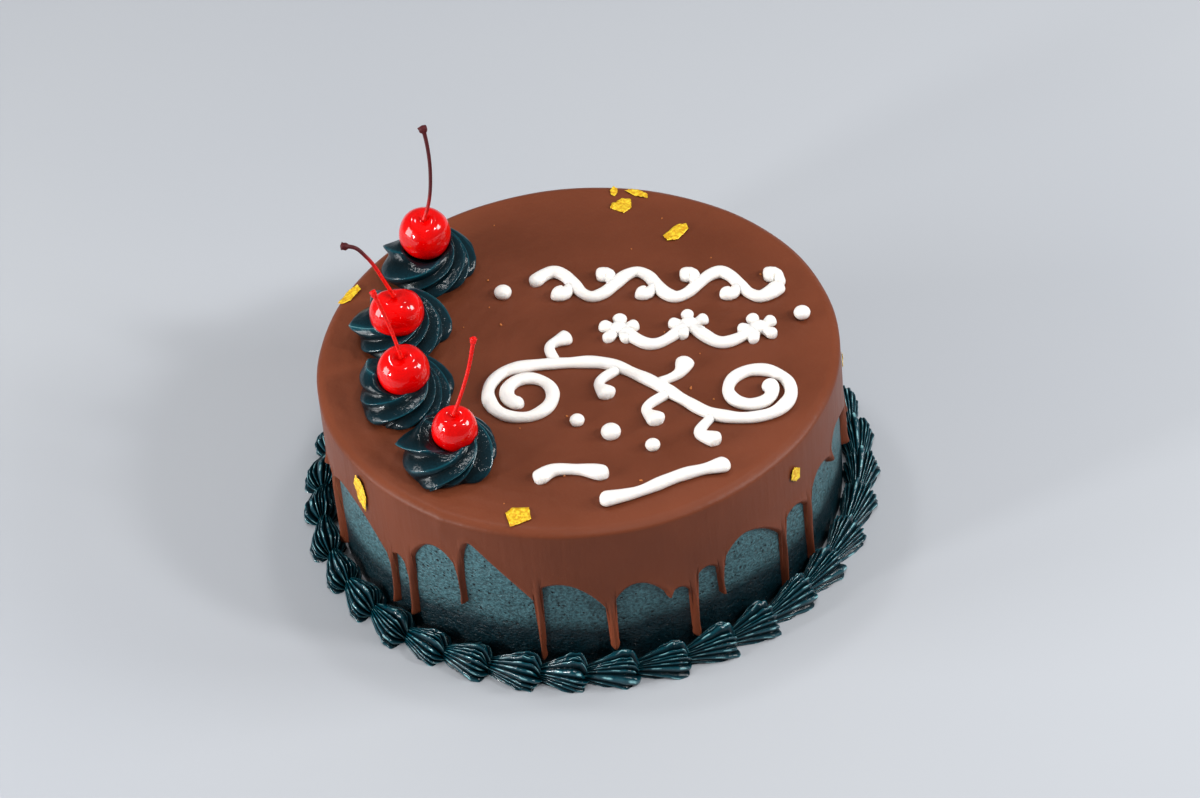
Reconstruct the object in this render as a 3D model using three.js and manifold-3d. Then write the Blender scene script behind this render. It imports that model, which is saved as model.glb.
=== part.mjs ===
// A round drip cake: a frosted cake under a poured chocolate coat whose edge runs down in drips,
// four piped rosettes that each carry a cherry, a piped shell border round the base, gold leaf on
// the coat and white piped scrolls on top.
// Millimetres, +Z up, origin at the centre of the base on the table. The front is -Y.

import * as THREE from 'three';
import { mergeVertices } from 'three/addons/utils/BufferGeometryUtils.js';
import Module from 'manifold-3d';

// ---------------------------------------------------------------- driving dimensions

const GAP = 0.3; // clearance between pieces that touch

// Frosted cake: eight inches across with its frosting, edge rounded over.
const CAKE_RADIUS = 103;
const CAKE_HEIGHT = 73;
const CAKE_EDGE = 3;
const CAKE_SIDES = 64;
const CAKE_EDGE_STEPS = 2;

// Chocolate coat.
const COAT_RADIUS = 105;
const COAT_TOP = 75.5;
const COAT_EDGE = 4.5;
const COAT_EDGE_STEPS = 3;
const LIP = 0.8; // how far the coat's outer face stops above its lower edge
const DRIP_WIDTH = 3.2;
const DRIP_UNEVEN = 0.5; // how much wider or narrower a drip may be
const DRIP_PROUD = 0.7; // how far a drip stands out from the coat
const DRIP_THINNED = 0.6; // how far the coat's face falls back along a drip's flanks
const DRIP_FACE = 0.45; // width of the proud face, as a share of the drip's
const DRIP_ROUND = 0.12; // how far the proud face stops above the tip, in widths
const DRIP_NECK = 0.35; // sideways run of a drip's flank, from the arch to the drip
const ARCH_STEP = 5.2; // degrees between points along an arch

// Each row is one drip: its angle in degrees and the height of its tip, then the arch on its
// right: the height beside the drip, the crown's angle and height, the height where the arch runs
// into the next drip, and how straight that run is, from 0 (round) to 1 (straight).
const FRONT_DRIPS = [
  [-176, 34, 41, -172.5, 45, 41, 0],
  [-167, 5, 42, -157, 50, 33, 0],
  [-141, 10, 36.5, -138.4, 38.8, 33, 0],
  [-135.3, 9.5, 41, -127, 54.5, 47, 0],
  [-121.5, 28, 51, -118.1, 62.4, 36, 0.9],
  [-103.8, 5, 43.5, -99, 45.8, 31, 0],
  [-88.3, 9.5, 35, -82.3, 42.5, 33.5, 0],
  [-75.3, 31, 33, -73, 34.6, 31, 0],
  [-69.7, 5.5, 37, -66.4, 40.2, 37, 0],
  [-62.8, 22, 39.5, -56.3, 47.8, 33.5, 0.2],
  [-45, 3, 38.4, -41.3, 41.6, 36, 0],
  [-35.2, 4, 38, -30, 46, 41, 0],
  [-23, 38.5, 46, -19.5, 51.2, 38, 0.3],
  [-5, 18, 34, -2.6, 36, 34, 0],
  [0, 26, 38, 6, 47, 37, 0],
];

// The drips between the last of these and the first, drawn at random within these ranges.
const BACK_DRIPS = {
  count: 12,
  from: 0,
  to: 184,
  uneven: 0.22, // of the spacing
  longShare: 0.6,
  longTips: [4, 11],
  shortTips: [18, 34],
  crowns: [42, 58],
  crownPlaces: [0.25, 0.45], // of the spacing, from the drip
  besideCrown: [4, 8],
  nexts: [32, 39],
};

// Gold leaf on the coat: angle, then distance from the axis on top or height on the side, then
// length, width and turn in degrees.
const LEAF_THICKNESS = 0.9;
const LEAF_SUNK = 0.45;
const LEAF_CORNERS = 6;
const LEAF_REACH = 0.36; // of a scrap's length and width, at its nearest corner
const LEAF_UNEVEN = 0.2;
const TOP_LEAVES = [
  [-107.8, 96.4, 13, 11, 20],
  [74.1, 90.2, 11, 9, 60],
  [77.2, 99.3, 6, 4, 0],
  [71.4, 99.3, 12, 5, 80],
  [55.3, 79.6, 15, 7, -15],
  [151.7, 101.6, 14, 6, 78],
];
const SIDE_LEAVES = [
  [-149, 61, 17, 8, 12],
  [-40.5, 59.5, 8.5, 7.5, 30],
  [-4, 62, 7, 6, 10],
  [104, 58, 9, 7, -25],
];

// Piped rosettes: height and radius of each ring from the base up, how far the ridges stand out,
// and how far the star has turned.
const ROSETTE_RIDGES = 8;
const RIDGE_SHARES = [1, -0.35, -0.9]; // from a ridge's crest over its flank to the groove
const ROSETTE_RINGS = [
  { height: 0, radius: 15.2, ridge: 0.5, turn: 0 },
  { height: 3.4, radius: 17.6, ridge: 1.7, turn: 8 },
  { height: 7.4, radius: 17.1, ridge: 2, turn: 24 },
  { height: 11, radius: 14.2, ridge: 1.8, turn: 48 },
  { height: 13.8, radius: 11.6, ridge: 1.2, turn: 74 },
  { height: 15.2, radius: 8.4, ridge: 0.5, turn: 96 },
];
const ROSETTE_CORE = 14.8; // height of the middle
const ROSETTE_TURN = -20; // degrees, of the first rosette
const ROSETTE_TURN_STEP = 17; // each next one is turned further
const SEAT_CLEARANCE = 1.5 * GAP;

// One rosette and its cherry per row: the rosette's centre, the cherry's centre from there, the
// cherry's radius and how tall it is for its width, its tilt to the front in degrees, its cleft,
// and the stem's course from the cherry's dimple.
const TOPPINGS = [
  {
    at: [-56.5, 59],
    cherry: [0, 1.5, 17.5],
    radius: 10.6,
    tall: 1.06,
    tilt: 18,
    cleft: 0,
    stem: [[0, 0, 0], [2.8, 1.8, 7], [5.1, 6.2, 20.6], [4.9, 10, 33], [4, 12, 40]],
  },
  {
    at: [-69.7, 20.4],
    cherry: [-0.5, -3, 13.9],
    radius: 11,
    tall: 1,
    tilt: 2,
    cleft: 0.16,
    stem: [[0, 0, 0], [-3, 0.8, 7.5], [-9.1, 2.2, 20.5], [-13.3, 2.7, 25.6], [-18.9, 2.7, 27.2]],
  },
  {
    at: [-70, -18.6],
    cherry: [1, 0, 14.7],
    radius: 10.6,
    tall: 0.98,
    tilt: 14,
    cleft: 0,
    stem: [[0, 0, 0], [-0.9, 0.9, 5], [-4.1, 3.6, 18.2], [-8.2, 6.3, 31.6]],
  },
  {
    at: [-54.5, -55.5],
    cherry: [4, 0.5, 13.6],
    radius: 9.1,
    tall: 1.12,
    tilt: 8,
    cleft: 0,
    stem: [[0, 0, 0], [2.6, 0.9, 6], [8, 4, 20], [11.6, 6.8, 33.8]],
  },
];
const CHERRY_SIDES = 14;
const CHERRY_ROWS = 8;
const DIMPLE_DEPTH = 0.26; // of the cherry's radius
const DIMPLE_SPREAD = 0.34; // in radians from the dimple's centre
const CLEFT_NARROW = 8; // the higher, the narrower the cleft
const CLEFT_BELOW = 0.4; // its depth under the cherry's waist, as a share
const STEM_RADIUS = 0.8;
const STEM_SIDES = 6;
const STEM_STEP = 4.5;
const STEM_LIFT = 3 * GAP;
const KNOB_RADIUS = 1.5;

// Piped shell border round the base. A shell runs from its narrow tail to its round head.
const SHELL_COUNT = 35;
const SHELL_START = 168; // angle of the first shell
const SHELL_UNEVEN = 0.09; // how much a shell may be longer or shorter than its share
const SHELL_RADIUS = 110.6;
const SHELL_SIZES = [0.97, 1.02];
const SHELL_SIDES = 9;
const SHELL_RIDGE = 0.07;
const SHELL_TIP = 2; // height of a shell's two ends
const SHELL_CLEARANCE = 1.2 * GAP;
const SHELL_RINGS = [
  { along: 0.03, width: 3.6, height: 5.6 },
  { along: 0.28, width: 5.4, height: 9 },
  { along: 0.56, width: 7.2, height: 12 },
  { along: 0.8, width: 7.7, height: 12.6 },
  { along: 0.97, width: 5.4, height: 9 },
];

// White piped scrolls on the top, in a frame of their own that is turned on the cake.
const SCROLL_TURN = -9; // degrees
const BEAD_WIDTH = 5.4;
const BEAD_HEIGHT = 3.4;
const BEAD_SIDES = 5;
const BEAD_TIP = 0.35; // height of a bead's two ends, in bead heights
const BEAD_STEP = 6.8;
const LINE_ENDS = { start: 1.35, end: 1.35 }; // how much wider a line is where it starts and stops
const BUD = { width: 4.4, start: 1, end: 1.7 };
const VINE = { from: -22, to: 80, middle: 38.5, swing: 7.5, waves: 3 };
const VINE_BUD = { back: 3.5, bend: 6, tip: 4.5, place: 0.27 };
const WAVE_POINTS = 8; // in each wave
// way is 1 for a volute that winds counterclockwise along the line and -1 for a clockwise one.
const LEFT_VOLUTE = { centre: [-18, -28], inner: 5.5, outer: 17, turns: 1.5, way: -1 };
const RIGHT_VOLUTE = { centre: [73, -25], inner: 5.5, outer: 16, turns: 1.4, way: 1 };
const VOLUTE_POINTS = 9; // in each turn
const BRIDGE = [[-2, -9], [14, -10], [29, -18], [44, -30], [58, -39]];
const BRIDGE_BUDS = [
  [[-7, -9.5], [-11, 1], [-3, 7]],
  [[33, -21], [42, -15], [45, -6.5]],
  [[18, -12], [11, -21], [16, -29]],
  [[39, -26], [31, -36], [37, -44]],
  [[58, -39], [53, -50], [61, -55]],
];
const BLOSSOMS = [[16, 11], [44, 14], [72, 12]];
const BLOSSOM_TURN = 12; // degrees between one blossom and the next
const BLOSSOM_HEART = 3.5;
const PETALS = 5;
const PETAL_LENGTH = 8.5;
const PETAL = { width: 5, start: 0.6, end: 1.45 };
const SWAG_SAG = 9;
const LONG_LINE = [[17, -89], [30, -84], [46, -75], [66, -67]];
const SHORT_LINE = [[-9, -78], [-3, -72], [8, -71], [19, -74]];
const PEARL_SIDES = 7;
const PEARL_RINGS = [[0.86, 0], [1, 0.42], [0.66, 0.86]]; // reach and height, in radii
const PEARL_TOP = 1.05;
const PEARLS = [[-33, 33, 3.6], [89, 21, 3.4], [4, -43, 3], [18, -50, 4], [35, -57, 3]];

const degrees = THREE.MathUtils.degToRad;

// ---------------------------------------------------------------- solids and geometry

const wasm = await Module();
wasm.setup();

// The same sequence of numbers from 0 to 1 on every run.
function seededRandom(seed) {
  let state = seed;
  return () => {
    state = (state * 1664525 + 1013904223) % 4294967296;
    return state / 4294967296;
  };
}

function weld(geometry) {
  const bare = geometry.clone();
  bare.deleteAttribute('normal');
  bare.deleteAttribute('uv');
  const welded = mergeVertices(bare, 1e-3);
  const corners = welded.getIndex().array;
  const kept = [];
  for (let i = 0; i < corners.length; i += 3) {
    const [a, b, c] = corners.slice(i, i + 3);
    if (a !== b && b !== c && c !== a) kept.push(a, b, c);
  }
  welded.setIndex(kept);
  return welded;
}

// Turns a closed geometry's faces outwards, by the sign of its volume.
function faceOutwards(geometry) {
  const position = geometry.getAttribute('position');
  const corners = geometry.getIndex().array;
  const points = [new THREE.Vector3(), new THREE.Vector3(), new THREE.Vector3()];
  let volume = 0;
  for (let i = 0; i < corners.length; i += 3) {
    points.forEach((point, k) => point.fromBufferAttribute(position, corners[i + k]));
    volume += points[0].dot(points[1].cross(points[2]));
  }
  if (volume < 0) {
    const turned = Array.from(corners);
    for (let i = 0; i < turned.length; i += 3) {
      [turned[i], turned[i + 1]] = [turned[i + 1], turned[i]];
    }
    geometry.setIndex(turned);
  }
  return geometry;
}

// Welds a geometry and moves each of its vertices to where place says.
function reshape(geometry, place) {
  const shaped = weld(geometry);
  const position = shaped.getAttribute('position');
  const point = new THREE.Vector3();
  for (let i = 0; i < position.count; i += 1) {
    point.fromBufferAttribute(position, i);
    const [x, y, z] = place(point);
    position.setXYZ(i, x, y, z);
  }
  return faceOutwards(shaped);
}

// A closed body of rings between two end points, from a sphere's rows and columns.
function ringBody(sides, rows, place) {
  return reshape(new THREE.SphereGeometry(1, sides, rows), (point) => {
    const polar = Math.acos(THREE.MathUtils.clamp(point.y, -1, 1));
    const row = Math.round((polar / Math.PI) * rows);
    const around = Math.atan2(point.z, point.x) / (2 * Math.PI) + 0.5;
    const column = Math.round(around * sides) % sides;
    return place(row, column);
  });
}

// A profile of [radius, height] points turned round the Z axis.
function turned(profile, sides) {
  const points = profile.map(([radius, height]) => new THREE.Vector2(radius, height));
  return new THREE.LatheGeometry(points, sides).rotateX(Math.PI / 2);
}

function toSolid(geometry) {
  const welded = weld(geometry);
  return new wasm.Manifold(
    new wasm.Mesh({
      numProp: 3,
      vertProperties: Float32Array.from(welded.getAttribute('position').array),
      triVerts: Uint32Array.from(welded.getIndex().array),
    }),
  );
}

function fromSolid(solid) {
  const mesh = solid.getMesh();
  const geometry = new THREE.BufferGeometry();
  geometry.setAttribute('position', new THREE.BufferAttribute(mesh.vertProperties, 3));
  geometry.setIndex(Array.from(mesh.triVerts));
  return geometry;
}

function joined(geometries) {
  return fromSolid(geometries.map(toSolid).reduce((all, next) => all.add(next)));
}

const cake = new THREE.Group();

function addPiece(name, geometry, finish, parent = cake) {
  const mesh = new THREE.Mesh(geometry, new THREE.MeshStandardMaterial(finish));
  mesh.name = name;
  parent.add(mesh);
  return mesh;
}

const FROSTING = { color: 0x345560, roughness: 0.6, metalness: 0 };
const CHOCOLATE = { color: 0x6a4130, roughness: 0.45, metalness: 0 };
const DARK_BUTTERCREAM = { color: 0x0f2e38, roughness: 0.35, metalness: 0 };
const CHERRY_RED = { color: 0xe6181a, roughness: 0.12, metalness: 0 };
const CHERRY_STEM = { color: 0x8c1f22, roughness: 0.4, metalness: 0 };
const WHITE_ICING = { color: 0xf2efec, roughness: 0.5, metalness: 0 };

// ---------------------------------------------------------------- frosted cake

// Points of a rounded upper edge, from the wall over to the flat top.
function roundedEdge(radius, top, edge, steps) {
  const points = [];
  for (let i = 0; i <= steps; i += 1) {
    const turn = (i / steps) * (Math.PI / 2);
    points.push([radius - edge + edge * Math.cos(turn), top - edge + edge * Math.sin(turn)]);
  }
  return points;
}

function frostedCake() {
  const profile = [[0, 0], [CAKE_RADIUS, 0]];
  profile.push(...roundedEdge(CAKE_RADIUS, CAKE_HEIGHT, CAKE_EDGE, CAKE_EDGE_STEPS));
  profile.push([0, CAKE_HEIGHT]);
  return faceOutwards(weld(turned(profile, CAKE_SIDES)));
}

// ---------------------------------------------------------------- chocolate coat

// The drips of the front, then those of the back in the same manner.
function allDrips() {
  const random = seededRandom(7);
  const between = ([low, high]) => low + (high - low) * random();
  const drips = [...FRONT_DRIPS];
  const back = BACK_DRIPS;
  const pitch = (back.to - back.from) / (back.count + 1);
  for (let i = 1; i <= back.count; i += 1) {
    const angle = back.from + pitch * (i + between([-back.uneven, back.uneven]));
    const tip = between(random() < back.longShare ? back.longTips : back.shortTips);
    const crown = between(back.crowns);
    const crownAngle = angle + between(back.crownPlaces) * pitch;
    const beside = crown - between(back.besideCrown);
    drips.push([angle, tip, beside, crownAngle, crown, between(back.nexts), 0]);
  }
  return drips.map(([angle, tip, beside, crownAngle, crown, next, straight], i) => {
    const width = DRIP_WIDTH + DRIP_UNEVEN * Math.sin(2.4 * i);
    const half = THREE.MathUtils.radToDeg(width / 2 / COAT_RADIUS);
    return { angle, tip, beside, crownAngle, crown, next, straight, width, half };
  });
}

const DRIPS = allDrips();
const FLANK = THREE.MathUtils.radToDeg(DRIP_NECK / COAT_RADIUS);

// Height of the coat's edge on the arch after a drip, which ends at the angle `end`.
function archHeight(drip, end, angle) {
  const start = drip.angle + drip.half + FLANK;
  if (angle <= drip.crownAngle) {
    const rise = (angle - start) / (drip.crownAngle - start);
    return drip.beside + (drip.crown - drip.beside) * Math.sin((rise * Math.PI) / 2);
  }
  const run = (angle - drip.crownAngle) / (end - drip.crownAngle);
  const round = Math.cos((run * Math.PI) / 2);
  const fall = drip.straight * (1 - run) + (1 - drip.straight) * round;
  return drip.next + (drip.crown - drip.next) * fall;
}

// The coat's columns: angle, height of the edge, and how far the face stands out there.
function coatColumns() {
  const columns = [];
  DRIPS.forEach((drip, i) => {
    const after = DRIPS[(i + 1) % DRIPS.length];
    const before = DRIPS[(i + DRIPS.length - 1) % DRIPS.length];
    const shoulder = drip.tip + drip.width / 2;
    const flank = Math.min(shoulder, before.next, drip.beside);
    const low = drip.tip + drip.width * DRIP_ROUND;
    const face = drip.half * DRIP_FACE;
    columns.push({ angle: drip.angle - drip.half, edge: flank, proud: -DRIP_THINNED });
    columns.push({ angle: drip.angle - face, edge: low, proud: DRIP_PROUD });
    columns.push({ angle: drip.angle + face, edge: low, proud: DRIP_PROUD });
    columns.push({ angle: drip.angle + drip.half, edge: flank, proud: -DRIP_THINNED });
    const start = drip.angle + drip.half + FLANK;
    let end = after.angle - after.half - FLANK;
    if (end < start) end += 360;
    const spans = [[start, drip.crownAngle], [drip.crownAngle, end]];
    spans.forEach(([from, to]) => {
      const steps = Math.max(1, Math.round((to - from) / ARCH_STEP));
      for (let k = 0; k < steps; k += 1) {
        const angle = from + ((to - from) * k) / steps;
        columns.push({ angle, edge: archHeight(drip, end, angle), proud: 0 });
      }
    });
    columns.push({ angle: end, edge: drip.next, proud: 0 });
  });
  return columns;
}

function chocolateCoat() {
  const columns = coatColumns();
  const shoulder = COAT_TOP - COAT_EDGE;
  const inside = [CAKE_RADIUS + GAP, CAKE_HEIGHT + GAP, CAKE_EDGE + GAP, CAKE_EDGE_STEPS];
  const profile = [[0, CAKE_HEIGHT + GAP], ...roundedEdge(...inside).reverse()];
  profile.push([CAKE_RADIUS + GAP, 0], [COAT_RADIUS, LIP]);
  profile.push(...roundedEdge(COAT_RADIUS, COAT_TOP, COAT_EDGE, COAT_EDGE_STEPS), [0, COAT_TOP]);
  const cap = turned(profile, columns.length);
  return reshape(cap, ({ x, y, z }) => {
    const radius = Math.hypot(x, y);
    const turn = (Math.atan2(y, x) + Math.PI / 2) / (2 * Math.PI);
    const column = columns[Math.round((turn + 1) * columns.length) % columns.length];
    const onSide = z < shoulder - CAKE_EDGE;
    const outer = onSide && radius > CAKE_RADIUS + 2 * GAP;
    const reach = outer ? radius + column.proud : radius;
    const angle = degrees(column.angle);
    return [reach * Math.cos(angle), reach * Math.sin(angle), onSide ? column.edge + z : z];
  });
}

// The coat's height and slope at a distance from the axis.
function coatSurface(radius) {
  const over = radius - (COAT_RADIUS - COAT_EDGE);
  if (over <= 0) return { height: COAT_TOP, slope: 0 };
  const slope = Math.asin(Math.min(1, over / COAT_EDGE));
  return { height: COAT_TOP - COAT_EDGE + COAT_EDGE * Math.cos(slope), slope };
}

// A crumpled scrap of leaf: an uneven polygon, thin, flat on its back.
function leafScrap(length, width, random) {
  const outline = new THREE.Shape();
  for (let i = 0; i < LEAF_CORNERS; i += 1) {
    const turn = ((i + 0.5 * random()) / LEAF_CORNERS) * 2 * Math.PI;
    const reach = LEAF_REACH + LEAF_UNEVEN * random();
    const x = length * reach * Math.cos(turn);
    const y = width * reach * Math.sin(turn);
    if (i === 0) outline.moveTo(x, y);
    else outline.lineTo(x, y);
  }
  const scrap = new THREE.ExtrudeGeometry(outline, { depth: LEAF_THICKNESS, bevelEnabled: false });
  return scrap.translate(0, 0, -LEAF_SUNK);
}

function goldLeaf() {
  const random = seededRandom(31);
  const scraps = TOP_LEAVES.map(([angle, radius, length, width, turn]) => {
    const { height, slope } = coatSurface(radius);
    const scrap = leafScrap(length, width, random).rotateZ(degrees(turn)).rotateY(slope);
    return scrap.translate(radius, 0, height).rotateZ(degrees(angle));
  });
  SIDE_LEAVES.forEach(([angle, height, length, width, turn]) => {
    const scrap = leafScrap(length, width, random).rotateZ(degrees(turn)).rotateY(Math.PI / 2);
    scraps.push(scrap.translate(COAT_RADIUS, 0, height).rotateZ(degrees(angle)));
  });
  return scraps;
}

// ---------------------------------------------------------------- rosettes and cherries

function rosette() {
  const sides = ROSETTE_RIDGES * RIDGE_SHARES.length;
  const rows = ROSETTE_RINGS.length + 1;
  return ringBody(sides, rows, (row, column) => {
    if (row === 0) return [0, 0, 0];
    if (row === rows) return [0, 0, ROSETTE_CORE];
    const ring = ROSETTE_RINGS[row - 1];
    const radius = ring.radius + ring.ridge * RIDGE_SHARES[column % RIDGE_SHARES.length];
    const angle = (column / sides) * 2 * Math.PI + degrees(ring.turn);
    return [radius * Math.cos(angle), radius * Math.sin(angle), ring.height];
  });
}

// A cherry round its own centre, with the dimple on top and a cleft down its front and back.
function cherry({ radius, tall, tilt, cleft }) {
  const fruit = ringBody(CHERRY_SIDES, CHERRY_ROWS, (row, column) => {
    const polar = (row / CHERRY_ROWS) * Math.PI;
    const around = (column / CHERRY_SIDES) * 2 * Math.PI;
    const dimple = DIMPLE_DEPTH * Math.exp(-((polar / DIMPLE_SPREAD) ** 2));
    const front = Math.abs(Math.sin(around)) ** CLEFT_NARROW;
    const groove = cleft * Math.sin(polar / 2 + 0.6) ** 6 * front;
    const reach = radius * (1 - groove * (row > CHERRY_ROWS / 2 ? CLEFT_BELOW : 1));
    const flat = reach * Math.sin(polar);
    const height = tall * reach * Math.cos(polar) - dimple * radius;
    return [flat * Math.cos(around), flat * Math.sin(around), height];
  });
  return fruit.rotateX(degrees(tilt));
}

// Where the stem leaves the dimple, from the cherry's centre.
function dimplePoint({ radius, tall, tilt }) {
  const depth = radius * (tall - DIMPLE_DEPTH);
  return [0, -depth * Math.sin(degrees(tilt)), depth * Math.cos(degrees(tilt))];
}

// A round stem along a curve, with a knob where it was picked.
function stem(course) {
  const points = course.map(([x, y, z]) => new THREE.Vector3(x, y, z + STEM_LIFT));
  const curve = new THREE.CatmullRomCurve3(points, false, 'chordal');
  const rows = Math.round(curve.getLength() / STEM_STEP) + 2;
  const aside = new THREE.Vector3(0, 1, 0);
  return ringBody(STEM_SIDES, rows, (row, column) => {
    const share = row / rows;
    const centre = curve.getPointAt(share);
    if (row === 0 || row === rows) return centre.toArray();
    const across = new THREE.Vector3().crossVectors(curve.getTangentAt(share), aside).normalize();
    const radius = row === rows - 1 ? KNOB_RADIUS : STEM_RADIUS;
    const turn = (column / STEM_SIDES) * 2 * Math.PI;
    return centre
      .addScaledVector(across, radius * Math.cos(turn))
      .addScaledVector(aside, radius * Math.sin(turn))
      .toArray();
  });
}

function addToppings() {
  TOPPINGS.forEach((topping, i) => {
    const place = new THREE.Group();
    place.position.set(...topping.at, COAT_TOP + GAP);
    cake.add(place);
    const seat = cherry({ ...topping, radius: topping.radius + SEAT_CLEARANCE });
    seat.translate(...topping.cherry);
    const swirl = rosette().rotateZ(degrees(ROSETTE_TURN + ROSETTE_TURN_STEP * i));
    const seated = fromSolid(toSolid(swirl).subtract(toSolid(seat)));
    addPiece(`rosette_${i + 1}`, seated, DARK_BUTTERCREAM, place);
    const fruit = addPiece(`cherry_${i + 1}`, cherry(topping), CHERRY_RED, place);
    fruit.position.set(...topping.cherry);
    const stalk = addPiece(`cherry_stem_${i + 1}`, stem(topping.stem), CHERRY_STEM, place);
    stalk.position.set(...topping.cherry).add(new THREE.Vector3(...dimplePoint(topping)));
  });
}

// ---------------------------------------------------------------- shell border

// Angles of the joints between the shells, a little uneven.
function shellJoints() {
  const random = seededRandom(5);
  const pitch = 360 / SHELL_COUNT;
  const joints = [];
  for (let i = 0; i < SHELL_COUNT; i += 1) {
    joints.push(SHELL_START + pitch * (i - 0.5 + SHELL_UNEVEN * (random() - 0.5)));
  }
  joints.push(joints[0] + 360);
  return joints;
}

// A shell as rings along its arc, round its own middle angle. Ridges fan out from the tail.
function shell(span, size) {
  const rows = SHELL_RINGS.length + 1;
  return ringBody(SHELL_SIDES, rows, (row, column) => {
    if (row === 0 || row === rows) {
      const end = degrees(span) * (row / rows - 0.5);
      return [SHELL_RADIUS * Math.cos(end), SHELL_RADIUS * Math.sin(end), SHELL_TIP];
    }
    const ring = SHELL_RINGS[row - 1];
    const turn = (column / (SHELL_SIDES - 1)) * Math.PI;
    const ridge = 1 + (column % 2 ? -SHELL_RIDGE : SHELL_RIDGE);
    const out = SHELL_RADIUS + ring.width * size * ridge * Math.cos(turn);
    const reach = Math.max(CAKE_RADIUS + GAP, out);
    const angle = degrees(span) * (ring.along - 0.5);
    const height = ring.height * size * ridge * Math.sin(turn);
    return [reach * Math.cos(angle), reach * Math.sin(angle), Math.max(0, height)];
  });
}

const SHELL_TOP = Math.max(...SHELL_RINGS.map((ring) => ring.height));

// The space that a long drip takes out of the shells, from inside the cake's wall outwards.
function dripSpace(drip, angle) {
  const inside = CAKE_RADIUS - 1;
  const depth = COAT_RADIUS + DRIP_PROUD + GAP - inside;
  const low = drip.tip - 2 * GAP;
  const high = 2 * SHELL_TOP;
  const space = new THREE.BoxGeometry(depth, drip.width + 4 * GAP, high - low);
  space.translate(inside + depth / 2, 0, (low + high) / 2);
  return space.rotateZ(degrees(angle));
}

function addShells() {
  const random = seededRandom(11);
  const joints = shellJoints();
  const clearance = THREE.MathUtils.radToDeg(SHELL_CLEARANCE / SHELL_RADIUS);
  const [smallest, largest] = SHELL_SIZES;
  for (let i = 0; i < SHELL_COUNT; i += 1) {
    const span = joints[i + 1] - joints[i] - clearance;
    const centre = (joints[i] + joints[i + 1]) / 2;
    let body = shell(span, smallest + (largest - smallest) * random());
    DRIPS.forEach((drip) => {
      const away = THREE.MathUtils.euclideanModulo(drip.angle - centre + 180, 360) - 180;
      if (Math.abs(away) < span / 2 + 2 * drip.half && drip.tip < SHELL_TOP) {
        body = fromSolid(toSolid(body).subtract(toSolid(dripSpace(drip, away))));
      }
    });
    const name = `shell_${String(i + 1).padStart(2, '0')}`;
    addPiece(name, body, DARK_BUTTERCREAM).rotation.z = degrees(centre);
  }
}

// ---------------------------------------------------------------- white piped scrolls

// A bead of icing piped along a flat curve: round ends, flat below, swollen where it starts and
// stops.
function bead(points, { width = BEAD_WIDTH, start, end }) {
  const course = points.map(([x, y]) => new THREE.Vector3(x, y, 0));
  const curve = new THREE.CatmullRomCurve3(course, false, 'centripetal');
  const length = curve.getLength();
  const rows = Math.max(4, Math.round(length / BEAD_STEP) + 2);
  const tip = 0.12 * width;
  const distance = (row) => {
    if (row === 0 || row === rows) return row === 0 ? 0 : length;
    return tip + ((length - 2 * tip) * (row - 1)) / (rows - 2);
  };
  return ringBody(BEAD_SIDES, rows, (row, column) => {
    const along = distance(row);
    const centre = curve.getPointAt(along / length);
    if (row === 0 || row === rows) return [centre.x, centre.y, BEAD_TIP * BEAD_HEIGHT];
    const tangent = curve.getTangentAt(along / length);
    const swell = 1 + (start - 1) * Math.exp(-((along / width) ** 2));
    const closing = 1 + (end - 1) * Math.exp(-(((length - along) / width) ** 2));
    const rounded = row === 1 || row === rows - 1 ? 0.8 : 1;
    const half = (width / 2) * swell * closing * rounded;
    const turn = Math.PI / 2 + (column / BEAD_SIDES) * 2 * Math.PI;
    const side = (half * Math.cos(turn)) / Math.cos(Math.PI / 2 / BEAD_SIDES);
    const height = BEAD_HEIGHT * (half / (BEAD_WIDTH / 2)) ** 0.5 * Math.max(0, Math.sin(turn));
    return [centre.x - tangent.y * side, centre.y + tangent.x * side, height];
  });
}

// A round drop of icing, flat below.
function pearl(x, y, radius) {
  return ringBody(PEARL_SIDES, PEARL_RINGS.length + 1, (row, column) => {
    if (row === 0) return [x, y, 0];
    if (row > PEARL_RINGS.length) return [x, y, radius * PEARL_TOP];
    const [reach, height] = PEARL_RINGS[row - 1];
    const turn = (column / PEARL_SIDES) * 2 * Math.PI;
    const out = radius * reach;
    return [x + out * Math.cos(turn), y + out * Math.sin(turn), radius * height];
  });
}

// Points of a flat spiral from one radius to another, starting at an angle.
function spiral({ centre, turns, way }, fromRadius, toRadius, fromAngle) {
  const steps = Math.round(turns * VOLUTE_POINTS);
  const points = [];
  for (let i = 0; i <= steps; i += 1) {
    const share = i / steps;
    const angle = degrees(fromAngle + way * 360 * turns * share);
    const radius = fromRadius + (toRadius - fromRadius) * share;
    points.push([centre[0] + radius * Math.cos(angle), centre[1] + radius * Math.sin(angle)]);
  }
  return points;
}

// A wave with a curled bud in each of its hollows.
function vine() {
  const { from, to, middle, swing, waves } = VINE;
  const pitch = (to - from) / waves;
  const wave = (x) => middle + swing * Math.sin((2 * Math.PI * (x - from)) / pitch);
  const points = [];
  for (let i = 0; i <= WAVE_POINTS * waves; i += 1) {
    const x = from + (pitch * i) / WAVE_POINTS;
    points.push([x, wave(x)]);
  }
  const pieces = [bead(points, LINE_ENDS)];
  const { back, bend, tip, place } = VINE_BUD;
  for (let i = 0; i < 2 * waves; i += 1) {
    const up = i % 2 ? 1 : -1;
    const root = from + pitch * (0.5 * i + 0.5);
    const x = from + pitch * (0.5 * i + place);
    const bud = [[root, wave(root)], [root - back, middle + bend * up], [x, middle + tip * up]];
    pieces.push(bead(bud, BUD));
  }
  return joined(pieces);
}

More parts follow.
